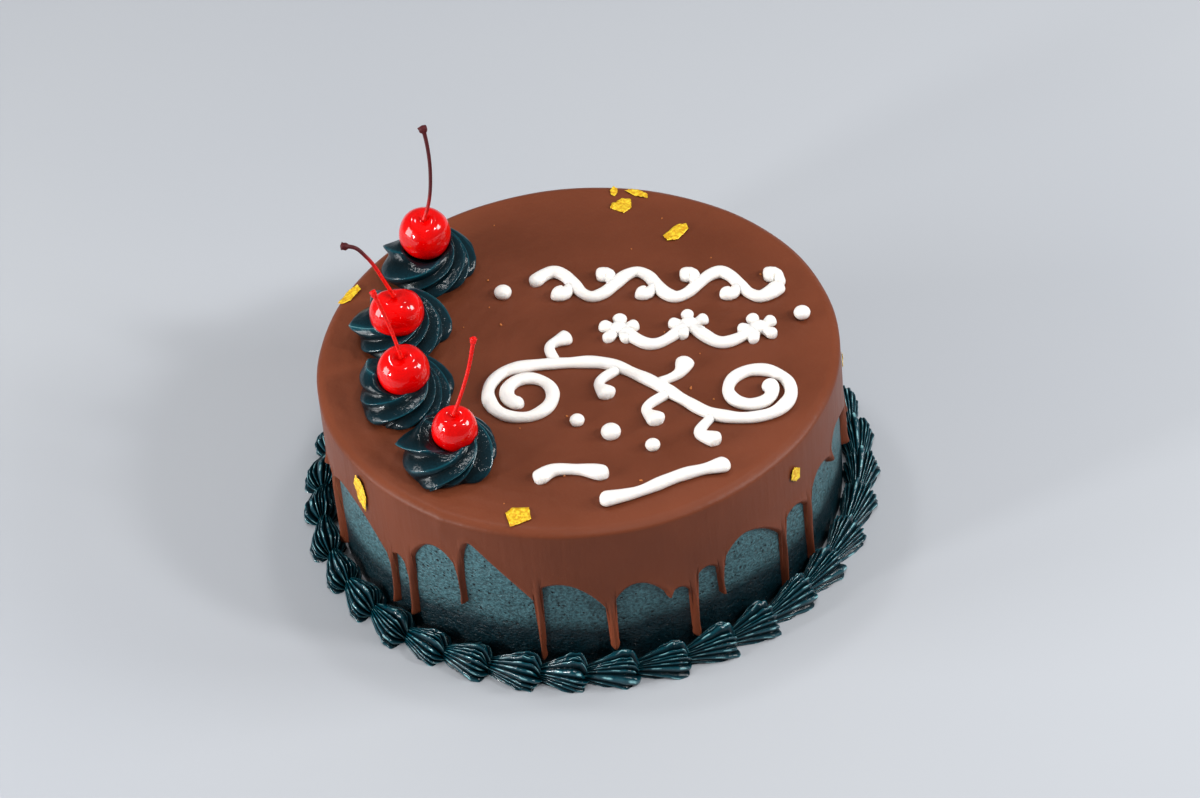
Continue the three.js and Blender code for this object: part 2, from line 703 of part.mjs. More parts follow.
// One long line from a volute that hangs to one that stands, with curled buds on both sides.
function scroll() {
  const winding = 90 + 360 * LEFT_VOLUTE.turns;
  const left = spiral(LEFT_VOLUTE, LEFT_VOLUTE.inner, LEFT_VOLUTE.outer, winding);
  const right = spiral(RIGHT_VOLUTE, RIGHT_VOLUTE.outer, RIGHT_VOLUTE.inner, -90);
  const line = bead([...left, ...BRIDGE, ...right], LINE_ENDS);
  return joined([line, ...BRIDGE_BUDS.map((points) => bead(points, BUD))]);
}

// Blossoms of teardrop petals, joined by swags that hang towards the front.
function garland() {
  const pieces = [];
  BLOSSOMS.forEach(([x, y], i) => {
    pieces.push(pearl(x, y, BLOSSOM_HEART));
    for (let k = 0; k < PETALS; k += 1) {
      const turn = degrees(90 + BLOSSOM_TURN * i) + (k / PETALS) * 2 * Math.PI;
      const tip = [x + PETAL_LENGTH * Math.cos(turn), y + PETAL_LENGTH * Math.sin(turn)];
      pieces.push(bead([[x, y], tip], PETAL));
    }
    if (i === 0) return;
    const [fromX, fromY] = BLOSSOMS[i - 1];
    const sag = Math.min(y, fromY) - SWAG_SAG;
    pieces.push(bead([[fromX, fromY], [(fromX + x) / 2, sag], [x, y]], { start: 1, end: 1 }));
  });
  return joined(pieces);
}

function addScrolls() {
  const top = new THREE.Group();
  top.position.z = COAT_TOP + GAP;
  top.rotation.z = degrees(SCROLL_TURN);
  cake.add(top);
  addPiece('piped_vine', vine(), WHITE_ICING, top);
  addPiece('piped_scroll', scroll(), WHITE_ICING, top);
  addPiece('piped_garland', garland(), WHITE_ICING, top);
  addPiece('piped_line_long', bead(LONG_LINE, LINE_ENDS), WHITE_ICING, top);
  addPiece('piped_line_short', bead(SHORT_LINE, LINE_ENDS), WHITE_ICING, top);
  PEARLS.forEach(([x, y, radius], i) => {
    addPiece(`piped_pearl_${i + 1}`, pearl(x, y, radius), WHITE_ICING, top);
  });
}

// ---------------------------------------------------------------- the whole cake

addPiece('cake', frostedCake(), FROSTING);
addPiece('chocolate', joined([chocolateCoat(), ...goldLeaf()]), CHOCOLATE);
addToppings();
addShells();
addScrolls();

export default cake;
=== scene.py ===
"""The looks of a drip cake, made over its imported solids: a frosted cake under a poured chocolate
coat, four piped rosettes with cherries, a piped shell border, gold leaf and white piped scrolls.

Each operator makes one piece or one group of like pieces, and says which solids they stand for.
Shapes are worked out in millimetres, +Z up with the front at -Y, and end in metres.
"""

import functools
import math
import random

import bmesh
import bpy
import numpy as np
from mathutils import Matrix, Vector, noise


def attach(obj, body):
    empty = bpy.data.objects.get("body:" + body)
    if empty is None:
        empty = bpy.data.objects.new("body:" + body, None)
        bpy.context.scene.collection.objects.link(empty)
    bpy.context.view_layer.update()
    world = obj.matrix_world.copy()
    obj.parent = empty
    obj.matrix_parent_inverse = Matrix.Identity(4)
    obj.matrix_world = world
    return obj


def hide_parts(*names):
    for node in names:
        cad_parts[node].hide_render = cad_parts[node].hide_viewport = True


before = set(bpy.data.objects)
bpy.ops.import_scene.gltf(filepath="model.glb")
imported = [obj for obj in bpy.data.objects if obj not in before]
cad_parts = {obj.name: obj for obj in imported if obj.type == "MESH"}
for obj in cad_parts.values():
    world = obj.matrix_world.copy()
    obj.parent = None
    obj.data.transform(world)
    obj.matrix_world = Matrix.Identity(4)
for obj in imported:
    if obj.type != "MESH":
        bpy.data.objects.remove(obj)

bl_info = {
    "name": "Drip cake",
    "version": (1, 0, 0),
    "blender": (4, 5, 0),
    "location": "View3D > Sidebar > Drip cake",
    "description": "Dresses the solids of a drip cake",
    "category": "Object",
}

MM = 0.001
TURN = 2 * math.pi

# ------------------------------------------------------------------ sizes shared with the solids

CAKE_RADIUS = 103
CAKE_HEIGHT = 73
CAKE_EDGE = 3
COAT_RADIUS = 105
COAT_TOP = 75.5
COAT_EDGE = 4.5
DRIP_WIDTH = 3.2
DRIP_UNEVEN = 0.5
DRIP_NECK = 0.35
TOP_LEVEL = 75.8
FOLD_AT = -124.5  # angle of a fold that the pour left under the rim

# Angle and height of a drip's tip, then the arch on its right: the height beside the drip, the
# crown's angle and height, the height at the next drip, and how straight it falls to there.
FRONT_DRIPS = [
    (-176, 34, 41, -172.5, 45, 41, 0),
    (-167, 5, 42, -157, 50, 33, 0),
    (-141, 10, 36.5, -138.4, 38.8, 33, 0),
    (-135.3, 9.5, 41, -127, 54.5, 47, 0),
    (-121.5, 28, 51, -118.1, 62.4, 36, 0.9),
    (-103.8, 5, 43.5, -99, 45.8, 31, 0),
    (-88.3, 9.5, 35, -82.3, 42.5, 33.5, 0),
    (-75.3, 31, 33, -73, 34.6, 31, 0),
    (-69.7, 5.5, 37, -66.4, 40.2, 37, 0),
    (-62.8, 22, 39.5, -56.3, 47.8, 33.5, 0.2),
    (-45, 3, 38.4, -41.3, 41.6, 36, 0),
    (-35.2, 4, 38, -30, 46, 41, 0),
    (-23, 38.5, 46, -19.5, 51.2, 38, 0.3),
    (-5, 18, 34, -2.6, 36, 34, 0),
    (0, 26, 38, 6, 47, 37, 0),
]
BACK_DRIPS = 12
BACK_TO = 184

# Gold leaf: angle, distance from the axis or height on the side, length, width and turn.
TOP_LEAVES = [
    (-107.8, 96.4, 13, 11, 20),
    (74.1, 90.2, 11, 9, 60),
    (77.2, 99.3, 6, 4, 0),
    (71.4, 99.3, 12, 5, 80),
    (55.3, 79.6, 15, 7, -15),
    (151.7, 101.6, 14, 6, 78),
]
SIDE_LEAVES = [
    (-149, 61, 17, 8, 12),
    (-40.5, 59.5, 8.5, 7.5, 30),
    (-4, 62, 7, 6, 10),
    (104, 58, 9, 7, -25),
]

# Rosette centre, cherry centre from there, its radius, tallness, tilt and cleft, and its stem.
TOPPINGS = [
    {
        "at": (-56.5, 59),
        "cherry": (0, 1.5, 17.5),
        "radius": 10.6,
        "tall": 1.06,
        "tilt": 18,
        "cleft": 0,
        "stem": [(0, 0, 0), (2.8, 1.8, 7), (5.1, 6.2, 20.6), (4.9, 10, 33), (4, 12, 40)],
        "withered": 0.12,
        "knob": 1.75,
    },
    {
        "at": (-69.7, 20.4),
        "cherry": (-0.5, -3, 13.9),
        "radius": 11,
        "tall": 1,
        "tilt": 2,
        "cleft": 0.16,
        "stem": [(0, 0, 0), (-3, 0.8, 7.5), (-9.1, 2.2, 20.5), (-13.3, 2.7, 25.6), (-18.9, 2.7, 27.2)],
        "withered": 0.52,
        "knob": 1.5,
    },
    {
        "at": (-70, -18.6),
        "cherry": (1, 0, 14.7),
        "radius": 10.6,
        "tall": 0.98,
        "tilt": 14,
        "cleft": 0,
        "stem": [(0, 0, 0), (-0.9, 0.9, 5), (-4.1, 3.6, 18.2), (-8.2, 6.3, 31.6)],
        "withered": 1.3,
        "knob": 1.25,
    },
    {
        "at": (-54.5, -55.5),
        "cherry": (4, 0.5, 13.6),
        "radius": 9.1,
        "tall": 1.12,
        "tilt": 8,
        "cleft": 0,
        "stem": [(0, 0, 0), (2.6, 0.9, 6), (8, 4, 20), (11.6, 6.8, 33.8)],
        "withered": 1.3,
        "knob": 1.25,
    },
]
DIMPLE_DEPTH = 0.26
DIMPLE_SPREAD = 0.34

SHELL_COUNT = 35
SHELL_START = 168
SHELL_UNEVEN = 0.09
SHELL_RADIUS = 110.6

SCROLL_TURN = -9
BEAD_WIDTH = 5.4
BEAD_HEIGHT = 3.4
VINE = {"from": -22, "to": 80, "middle": 38.5, "swing": 7.5, "waves": 3}
# way is 1 for a volute that winds counterclockwise along the line and -1 for a clockwise one.
LEFT_VOLUTE = {"centre": (-18, -28), "inner": 5.5, "outer": 17, "turns": 1.5, "way": -1}
RIGHT_VOLUTE = {"centre": (73, -25), "inner": 5.5, "outer": 16, "turns": 1.4, "way": 1}
BRIDGE = [(-2, -9), (14, -10), (29, -18), (44, -30), (58, -39)]
BRIDGE_BUDS = [
    [(-7, -9.5), (-11, 1), (-3, 7)],
    [(33, -21), (42, -15), (45, -6.5)],
    [(18, -12), (11, -21), (16, -29)],
    [(39, -26), (31, -36), (37, -44)],
    [(58, -39), (53, -50), (61, -55)],
]
BUD = {"width": 4.4, "start": 1, "end": 1.7}
BLOSSOMS = [(16, 11), (44, 14), (72, 12)]
PETALS = 5
LONG_LINE = [(17, -89), (30, -84), (46, -75), (66, -67)]
SHORT_LINE = [(-9, -78), (-3, -72), (8, -71), (19, -74)]
PEARLS = [(-33, 33, 3.6), (89, 21, 3.4), (4, -43, 3), (18, -50, 4), (35, -57, 3)]

# Where the frosting has most pits, in metres.
PITTED_AT = (-0.074, -0.0715, 0.043)


def linear(code):
    """An sRGB hex colour as linear red, green, blue and alpha."""
    parts = [int(code[i : i + 2], 16) / 255 for i in (0, 2, 4)]
    return *(c / 12.92 if c <= 0.04045 else ((c + 0.055) / 1.055) ** 2.4 for c in parts), 1.0


def colour(name, code, description):
    """A colour that a user can change."""
    return bpy.props.FloatVectorProperty(
        name=name, description=description, subtype="COLOR", size=4, min=0, max=1, default=linear(code)
    )


class CakeColours(bpy.types.PropertyGroup):
    """Colours of the cake's finishes."""

    frosting: colour("Frosting", "41676e", "Smoothed teal buttercream on the wall")
    # Painted shade: the frosting's colour darkened low on the wall.
    frosting_low: colour("Frosting near the base", "001a21", "The same buttercream low on the wall")
    # Painted shade: the dark colour put inside the pits.
    pit: colour("Pits", "041015", "Inside of the fine pits in the frosting")
    chocolate: colour("Chocolate", "693622", "Poured milk chocolate")
    # Painted highlight: the paler colour of the coat's rounded lip.
    chocolate_lip: colour("Chocolate lip", "86452e", "The thin rounded edge of the chocolate")
    buttercream: colour("Piped buttercream", "04242d", "Dark buttercream of the rosettes and shells")
    buttercream_strand: colour("Piped strands", "00434f", "Rounded strands of the piped shells")
    # Painted highlight: the pale colour of the piped crests.
    buttercream_crest: colour("Piped crests", "86bcc2", "Thin crests of the piped ridges")
    cherry: colour("Cherry", "e60000", "Glazed cherry skin")
    stalk: colour("Stalk", "e3120a", "Dyed end of a cherry stalk")
    stalk_withered: colour("Withered stalk", "4f161b", "Dried end of a cherry stalk")
    icing: colour("White icing", "f4f1ed", "White piped icing")
    icing_shade: colour("Icing shade", "e9e4de", "The cloudier patches of the white icing")
    gold: colour("Gold leaf", "ffdc32", "Edible gold leaf")
    # Painted shade: the darker yellow of the leaf's crinkles.
    gold_fold: colour("Gold folds", "e2a716", "The crinkles of the gold leaf")
    crumb: colour("Crumbs", "c8793a", "Toasted crumbs on the chocolate")
    crumb_crust: colour("Crumb crust", "a85c26", "The darker side of the crumbs")
    floor: colour("Floor", "b6b9bd", "Pale studio floor")
    floor_cloud: colour("Floor clouds", "aeb2b9", "Faint clouds in the floor's paint")
    light: colour("Light", "ffffff", "The lamps")
    room: colour("Room", "f4f6f8", "Even light of the studio")


def length(name, size, description, least=0):
    """A length in millimetres that a user can change."""
    return bpy.props.FloatProperty(
        name=name, description=description, unit="LENGTH", min=least * MM, default=size * MM
    )


class CakeSizes(bpy.types.PropertyGroup):
    """Sizes of the cake's fine forms."""

    coat_sunk: length("Coat edge depth", 0.5, "How deep the coat's edge goes into the frosting")
    lip: length("Lip", 2, "Width over which the coat's edge is rounded", least=0.2)
    groove: bpy.props.FloatProperty(
        name="Shell grooves",
        description="Depth of the grooves of a shell, as a share of its width",
        default=0.25,
        min=0,
        max=0.4,
        subtype="FACTOR",
    )
    rosette_groove: length("Rosette grooves", 3.4, "Depth of a rosette's grooves under its crests")
    pits: length("Pits", 0.35, "Depth of the fine pits in the frosting")
    crumbs: bpy.props.IntProperty(name="Crumbs", description="Number of crumbs", default=26, min=0)


def sizes():
    return bpy.context.scene.cake_sizes


# ------------------------------------------------------------------ finishes

RGBA = {"out": 2, "data_type": "RGBA"}  # a Mix node that mixes its colour inputs, 6 and 7


def add(tree, kind, inputs=(), stops=(), out=0, **settings):
    """Adds a shader node with its settings, its values or links and the stops of its ramp, and
    gives one of its outputs, which also leads to the others."""
    made = tree.nodes.new("ShaderNode" + kind)
    for key, value in settings.items():
        setattr(made, key, value)
    for key, value in dict(inputs).items():
        if isinstance(value, bpy.types.NodeSocket):
            tree.links.new(value, made.inputs[key])
        elif made.inputs[key].type == "VECTOR":
            made.inputs[key].default_value = tuple(value)[:3]
        else:
            made.inputs[key].default_value = value
    for i, (place, shade) in enumerate(stops):
        ramp = made.color_ramp.elements
        stop = ramp[i] if i < 2 else ramp.new(place)
        stop.position, stop.color = place, shade
    return made.outputs[out] if made.outputs else None


def finish(make):
    """The material of a finish, made once. The finish gives the inputs of its surface, and its
    patterns lie on the object's own coordinates in metres."""
    made = bpy.data.materials.get(make.__name__)
    if made is None:
        made = bpy.data.materials.new(make.__name__)
        made.use_nodes = True
        made.node_tree.nodes.clear()
        node = functools.partial(add, made.node_tree)
        surface = node("BsdfPrincipled", make(node, node("TexCoord", out="Object")))
        node("OutputMaterial", {"Surface": surface})
    return made


def per(size):
    """Scale of a pattern whose patches are about that many millimetres wide."""
    return 1 / (size * MM)


def tone(name, share=1):
    """One of the cake's colours, darkened to a share."""
    red, green, blue, _ = getattr(bpy.context.scene.cake_colours, name)
    return share * red, share * green, share * blue, 1.0


def smoothed_teal_buttercream(node, place):
    """Teal buttercream smoothed with a scraper: satin and cloudy, with fine pits. Its colour holds painted
    shade, darker low on the wall and inside the pits.
    """
    height = node("SeparateXYZ", {0: place}, out="Z")
    # Painted shade: the colour runs darker towards the base of the wall, near black at its foot.
    cloud = node("TexNoise", {"Vector": place, "Scale": per(22), "Detail": 3})
    level = node("Math", {0: cloud, 1: 12 * MM, 2: height}, operation="MULTIPLY_ADD")
    rise = node("MapRange", {0: level, 1: 19 * MM, 2: 66 * MM})
    stops = [(0, tone("frosting_low")), (0.13, tone("frosting_low"))]
    stops += [(0.3, tone("frosting", 0.72)), (1, tone("frosting"))]
    shade = node("ValToRGB", {0: rise}, stops)
    flatter = node("Mapping", {"Vector": place, "Scale": (1, 1, 1.35)})
    fine = node("TexNoise", {"Vector": flatter, "Scale": per(1.25), "Detail": 4})
    mottle = node("MapRange", {0: fine, 1: 0.34, 2: 0.66, 3: 0.4, 4: 1.5})
    shade = node("VectorMath", {0: shade, 3: mottle}, operation="SCALE")
    # Pits where air broke through, about 2 mm apart, and a patch where they lie close together.
    cells = node("TexVoronoi", {"Vector": place, "Scale": per(1.9), "Randomness": 1}, out="Color")
    chosen = node("SeparateColor", {0: cells})
    away = node("VectorMath", {0: place, 1: PITTED_AT}, out="Value", operation="DISTANCE")
    patch = node("MapRange", {0: away, 1: 12 * MM, 2: 3 * MM, 3: 0, 4: 0.7})
    chosen = node("Math", {0: chosen, 1: patch})
    reach = node("MapRange", {0: chosen, 1: 0.3, 2: 1, 3: 0.0, 4: 0.36})
    inside = node("Math", {0: reach, 1: cells.node.outputs["Distance"]}, operation="SUBTRACT")
    pit = node("MapRange", {0: inside, 1: 0, 2: 0.1})
    # Painted shade: the pits are darkened inside.
    shade = node("Mix", {0: pit, 6: shade, 7: tone("pit")}, **RGBA)
    shallow = node("Math", {0: 1, 1: pit}, operation="SUBTRACT")
    normal = node("Bump", {"Height": shallow, "Distance": sizes().pits})
    normal = node("Bump", {"Height": fine, "Distance": 0.6 * MM, "Normal": normal})
    broad = node("TexNoise", {"Vector": place, "Scale": per(5), "Detail": 3})
    normal = node("Bump", {"Height": broad, "Distance": 0.9 * MM, "Normal": normal})
    gloss = node("MapRange", {0: fine, 1: 0.3, 2: 0.7, 3: 0.3, 4: 0.46})
    return {"Base Color": shade, "Roughness": gloss, "Normal": normal, "Specular IOR Level": 0.36}


def poured_milk_chocolate(node, place):
    """Milk chocolate poured as a glaze and set: satin and even, with painted light on the rim of its top
    and a painted highlight along its lip.
    """
    axes = node("SeparateXYZ", {0: place}).node.outputs
    cloud = node("TexNoise", {"Vector": place, "Scale": per(38), "Detail": 3})
    light = node("MapRange", {0: cloud, 1: 0.3, 2: 0.7, 3: 0.9, 4: 1.1})
    # Painted light: the top is made paler towards its rim.
    flat = node("CombineXYZ", {0: axes["X"], 1: axes["Y"]})
    reach = node("VectorMath", {0: flat}, out="Value", operation="LENGTH")
    near = node("MapRange", {0: reach, 1: 84 * MM, 2: 100 * MM, 3: 0, 4: 0.22})
    upper = node("MapRange", {0: axes["Z"], 1: 71.2 * MM, 2: 73.5 * MM})
    light = node("Math", {0: near, 1: upper, 2: light}, operation="MULTIPLY_ADD")
    brown = node("VectorMath", {0: tone("chocolate"), 3: light}, operation="SCALE")
    # Painted highlight along the coat's rounded lip, at its edge on the side.
    lip = node("Attribute", out="Fac", attribute_name="lip")
    brown = node("Mix", {0: lip, 6: brown, 7: tone("chocolate_lip")}, **RGBA)
    # Streaks that ran down the side, several times as tall as wide.
    run = node("Mapping", {"Vector": place, "Scale": (1, 1, 0.12)})
    streak = node("TexNoise", {"Vector": run, "Scale": per(5)})
    # Faint rings from the turntable, 7 mm apart, on the left of the top.
    wobble = node("Math", {0: cloud, 1: 4 * MM, 2: reach}, operation="MULTIPLY_ADD")
    wave = node("Math", {0: wobble, 1: TURN * per(7)}, operation="MULTIPLY")
    ring = node("Math", {0: wave}, operation="SINE")
    left = node("MapRange", {0: axes["X"], 1: 10 * MM, 2: -50 * MM})
    high = node("MapRange", {0: axes["Z"], 1: 72 * MM, 2: 75 * MM})
    where = node("Math", {0: left, 1: high}, operation="MULTIPLY")
    rings = node("Math", {0: ring, 1: where}, operation="MULTIPLY")
    fine = node("TexNoise", {"Vector": place, "Scale": per(0.9)})
    normal = node("Bump", {"Height": rings, "Distance": 0.06 * MM})
    normal = node("Bump", {"Height": streak, "Distance": 0.3 * MM, "Normal": normal})
    normal = node("Bump", {"Height": fine, "Distance": 0.03 * MM, "Normal": normal})
    gloss = node("MapRange", {0: cloud, 1: 0.3, 2: 0.7, 3: 0.36, 4: 0.46})
    return {
        "Base Color": brown,
        "Roughness": gloss,
        "Normal": normal,
        "Specular IOR Level": 0.16,
        "Subsurface Weight": 0.08,
        "Subsurface Radius": (1, 0.5, 0.3),
        "Subsurface Scale": 1.2 * MM,
    }


def piped_dark_buttercream(node, place):
    """Dark buttercream from a star tip: moist and glossy, with painted shade in its grooves and painted
    highlights on its crests.
    """
    crest = node("Attribute", out="Fac", attribute_name="crest")
    # The crest attribute paints light and shade: darker towards the grooves, painted shade, and pale on the
    # crests, painted highlights.
    stops = [(0, tone("buttercream", 0.3)), (0.5, tone("buttercream"))]
    stops += [(0.86, tone("buttercream_strand")), (1, tone("buttercream_crest"))]
    shade = node("ValToRGB", {0: crest}, stops)
    fine = node("TexNoise", {"Vector": place, "Scale": per(0.7), "Detail": 3})
    speck = node("MapRange", {0: fine, 1: 0.3, 2: 0.7, 3: 0.7, 4: 1.2})
    shade = node("VectorMath", {0: shade, 3: speck}, operation="SCALE")
    soft = node("TexNoise", {"Vector": place, "Scale": per(2.4)})
    normal = node("Bump", {"Height": fine, "Distance": 0.07 * MM})
    normal = node("Bump", {"Height": soft, "Distance": 0.2 * MM, "Normal": normal})
    # The rounded strands are wetter than the scooped faces between two crests.
    wet = node("MapRange", {0: crest, 1: 0.5, 2: 0.8, 3: 0.4, 4: 1})
    return {
        "Base Color": shade,
        "Roughness": 0.4,
        "Normal": normal,
        "Specular IOR Level": 0.06,
        "Coat Weight": wet,
        "Coat Roughness": 0.08,
        "Coat Normal": normal,
    }


def glazed_cherry_skin(node, place):
    """Syrup-glazed cherry: bright see-through red flesh under a wet, mirror-like skin."""
    cloud = node("TexNoise", {"Vector": place, "Scale": per(7)})
    ripe = node("MapRange", {0: cloud, 1: 0.35, 2: 0.65})
    red = node("Mix", {0: ripe, 6: tone("cherry", 0.78), 7: tone("cherry")}, **RGBA)
    uneven = node("TexNoise", {"Vector": place, "Scale": per(4), "Detail": 1})
    return {
        "Base Color": red,
        "Roughness": 0.3,
        "Normal": node("Bump", {"Height": uneven, "Distance": 0.1 * MM}),
        "Specular IOR Level": 0.05,
        "Subsurface Weight": 0.12,
        "Subsurface Radius": (1, 0.03, 0.02),
        "Subsurface Scale": 2.5 * MM,
        "Coat Weight": 0.9,
        "Coat Roughness": 0.03,
    }


def dyed_cherry_stalk(node, place):
    """Cherry stalk dyed by its syrup: red and satin, dried to a dull maroon at its end."""
    dried = node("Attribute", out="Fac", attribute_name="withered")
    shade = node("Mix", {0: dried, 6: tone("stalk"), 7: tone("stalk_withered")}, **RGBA)
    fine = node("TexNoise", {"Vector": place, "Scale": per(0.9), "Detail": 3})
    light = node("MapRange", {0: fine, 1: 0.3, 2: 0.7, 3: 0.75, 4: 1.2})
    return {
        "Base Color": node("VectorMath", {0: shade, 3: light}, operation="SCALE"),
        "Roughness": node("MapRange", {0: dried, 3: 0.25, 4: 0.55}),
        "Normal": node("Bump", {"Height": fine, "Distance": 0.15 * MM}),
        "Specular IOR Level": 0.25,
    }


def piped_white_icing(node, place):
    """White icing piped through a round tip: soft, slightly see-through, with a low sheen."""
    cloud = node("TexNoise", {"Vector": place, "Scale": per(6)})
    soft = node("TexNoise", {"Vector": place, "Scale": per(2.5)})
    return {
        "Base Color": node("Mix", {0: cloud, 6: tone("icing_shade"), 7: tone("icing")}, **RGBA),
        "Roughness": 0.38,
        "Normal": node("Bump", {"Height": soft, "Distance": 0.25 * MM}),
        "Subsurface Weight": 0.25,
        "Subsurface Radius": (1, 0.85, 0.7),
        "Subsurface Scale": 1.5 * MM,
    }


def gold_leaf(node, place):
    """Edible gold leaf: beaten metal, crinkled, bright yellow."""
    crinkle = node("TexNoise", {"Vector": place, "Scale": per(1.3), "Detail": 4})
    # Painted shade: the leaf is a darker yellow where its crinkles dip.
    spread = node("MapRange", {0: crinkle, 1: 0.4, 2: 0.6})
    return {
        "Base Color": node("Mix", {0: spread, 6: tone("gold_fold"), 7: tone("gold")}, **RGBA),
        "Metallic": 0.25,
        "Roughness": 0.4,
        "Normal": node("Bump", {"Height": crinkle, "Distance": 0.5 * MM}),
    }


def toasted_crumb(node, place):
    """Sponge crumb: dry, matt, toasted orange."""
    cloud = node("TexNoise", {"Vector": place, "Scale": per(0.7)})
    return {
        "Base Color": node("Mix", {0: cloud, 6: tone("crumb_crust"), 7: tone("crumb")}, **RGBA),
        "Roughness": 0.8,
        "Normal": node("Bump", {"Height": cloud, "Distance": 0.2 * MM}),
    }


def painted_floor(node, place):
    """Painted studio floor: pale, matt, faintly cloudy."""
    cloud = node("TexNoise", {"Vector": place, "Scale": per(320)})
    return {
        "Base Color": node("Mix", {0: cloud, 6: tone("floor_cloud"), 7: tone("floor")}, **RGBA),
        "Roughness": 0.7,
        "Specular IOR Level": 0.2,
    }


# ------------------------------------------------------------------ ways to make a piece


def seeded(seed):
    """The same sequence of numbers from 0 to 1 on every run."""
    state = seed
    while True:
        state = (state * 1664525 + 1013904223) % 4294967296
        yield state / 4294967296


def smoothstep(low, high, value):
    share = np.clip((value - low) / (high - low), 0, 1)
    return share * share * (3 - 2 * share)


def rolled(columns, rows, place):
    """A closed body from a flat grid. The columns run round and the first and last row close.
    place turns the shares round and along into points and named marks."""
    bm = bmesh.new()
    bmesh.ops.create_grid(bm, x_segments=columns, y_segments=rows, size=1)
    flat = np.array([v.co for v in bm.verts])
    points, marks = place((flat[:, 0] + 1) / 2, (flat[:, 1] + 1) / 2)
    layers = [(bm.verts.layers.float.new(name), values) for name, values in marks.items()]
    for i, v in enumerate(bm.verts):
        v.co = points[i]
        for layer, values in layers:
            v[layer] = float(values[i])
    bmesh.ops.remove_doubles(bm, verts=bm.verts, dist=1e-3)
    return bm


def merged(parts):
    """Several bmeshes as one."""
    whole = bmesh.new()
    for part in parts:
        mesh = bpy.data.meshes.new("part")
        part.to_mesh(mesh)
        part.free()
        whole.from_mesh(mesh)
        bpy.data.meshes.remove(mesh)
    return whole


def finished(name, bm, make, node):
    """Makes the piece from a bmesh in millimetres: it stands for a node and rides the cake."""
    bmesh.ops.dissolve_degenerate(bm, edges=bm.edges, dist=1e-4)
    bmesh.ops.recalc_face_normals(bm, faces=bm.faces)
    bmesh.ops.scale(bm, vec=(MM, MM, MM), verts=bm.verts)
    mesh = bpy.data.meshes.new(name)
    bm.to_mesh(mesh)
    bm.free()
    mesh.shade_smooth()
    mesh.materials.append(finish(make))
    piece = bpy.data.objects.new(name, mesh)
    bpy.context.scene.collection.objects.link(piece)
    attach(piece, "root")
    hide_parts(node)


def course(points, power=0.5):
    """Points of a smooth curve through some points, about a quarter of a millimetre apart, and
    their distances along it. A power of 0.5 keeps the curve close, and 1 makes it rounder."""
    known = [np.array(p, float) for p in points]
    known = [2 * known[0] - known[1], *known, 2 * known[-1] - known[-2]]
    line = []
    for p0, p1, p2, p3 in zip(known, known[1:], known[2:], known[3:]):
        pairs = ((p0, p1), (p1, p2), (p2, p3))
        d0, d1, d2 = (max(np.linalg.norm(b - a), 1e-3) ** power for a, b in pairs)
        t1 = ((p1 - p0) / d0 - (p2 - p0) / (d0 + d1) + (p2 - p1) / d1) * d1
        t2 = ((p2 - p1) / d1 - (p3 - p1) / (d1 + d2) + (p3 - p2) / d2) * d1
        count = max(3, int(np.linalg.norm(p2 - p1) * 4))
        for t in np.arange(count) / count:
            cubic = (2 * p1 - 2 * p2 + t1 + t2) * t**3 + (3 * p2 - 3 * p1 - 2 * t1 - t2) * t * t
            line.append(cubic + t1 * t + p1)
    line = np.array([*line, known[-2]])
    return line, np.concatenate([[0], np.cumsum(np.linalg.norm(np.diff(line, axis=0), axis=1))])


def along(line, lengths, distance):
    """Points and directions of a curve at some distances."""
    at = lambda d: np.stack([np.interp(d, lengths, line[:, k]) for k in range(line.shape[1])], axis=1)
    ahead = at(np.minimum(distance + 0.4, lengths[-1])) - at(np.maximum(distance - 0.4, 0))
    return at(distance), ahead / np.linalg.norm(ahead, axis=1)[:, None]


def stations(length, half, step):
    """Distances along a piped line, close together at its two round ends."""
    ends = np.array([0, 0.03, 0.12, 0.28, 0.5, 0.76]) * min(half, length / 3)
    first = min(half, length / 3)
    middle = np.linspace(first, length - first, max(3, int((length - 2 * first) / step) + 1))
    return np.concatenate([ends, middle, length - ends[::-1]])


def turned_z(points, angle):
    """Points turned about the vertical axis."""
    c, s = math.cos(angle), math.sin(angle)
    x, y, z = points.T
    return np.stack([x * c - y * s, x * s + y * c, z], axis=1)


def revolved(profile, steps):
    """A closed body turned about the vertical axis from its radii and heights."""
    bm = bmesh.new()
    verts = [bm.verts.new((r, 0, z)) for r, z in profile]
    edges = [bm.edges.new(pair) for pair in zip(verts, verts[1:])]
    bmesh.ops.spin(
        bm, geom=verts + edges, cent=(0, 0, 0), axis=(0, 0, 1), angle=TURN, steps=steps, use_merge=True
    )
    bmesh.ops.remove_doubles(bm, verts=bm.verts, dist=1e-3)
    return bm


# ------------------------------------------------------------------ frosted cake

WALL_ROWS = 62
WALL_STEPS = 540


def wall_wave(angle, height):
    """How far the scraped wall stands out of round, in millimetres."""
    slow = 0.22 * np.sin(3 * angle + 0.8) + 0.12 * np.sin(7 * angle + height / 19)
    return slow + 0.07 * np.sin(17 * angle - height / 11) * np.sin(height / 9)


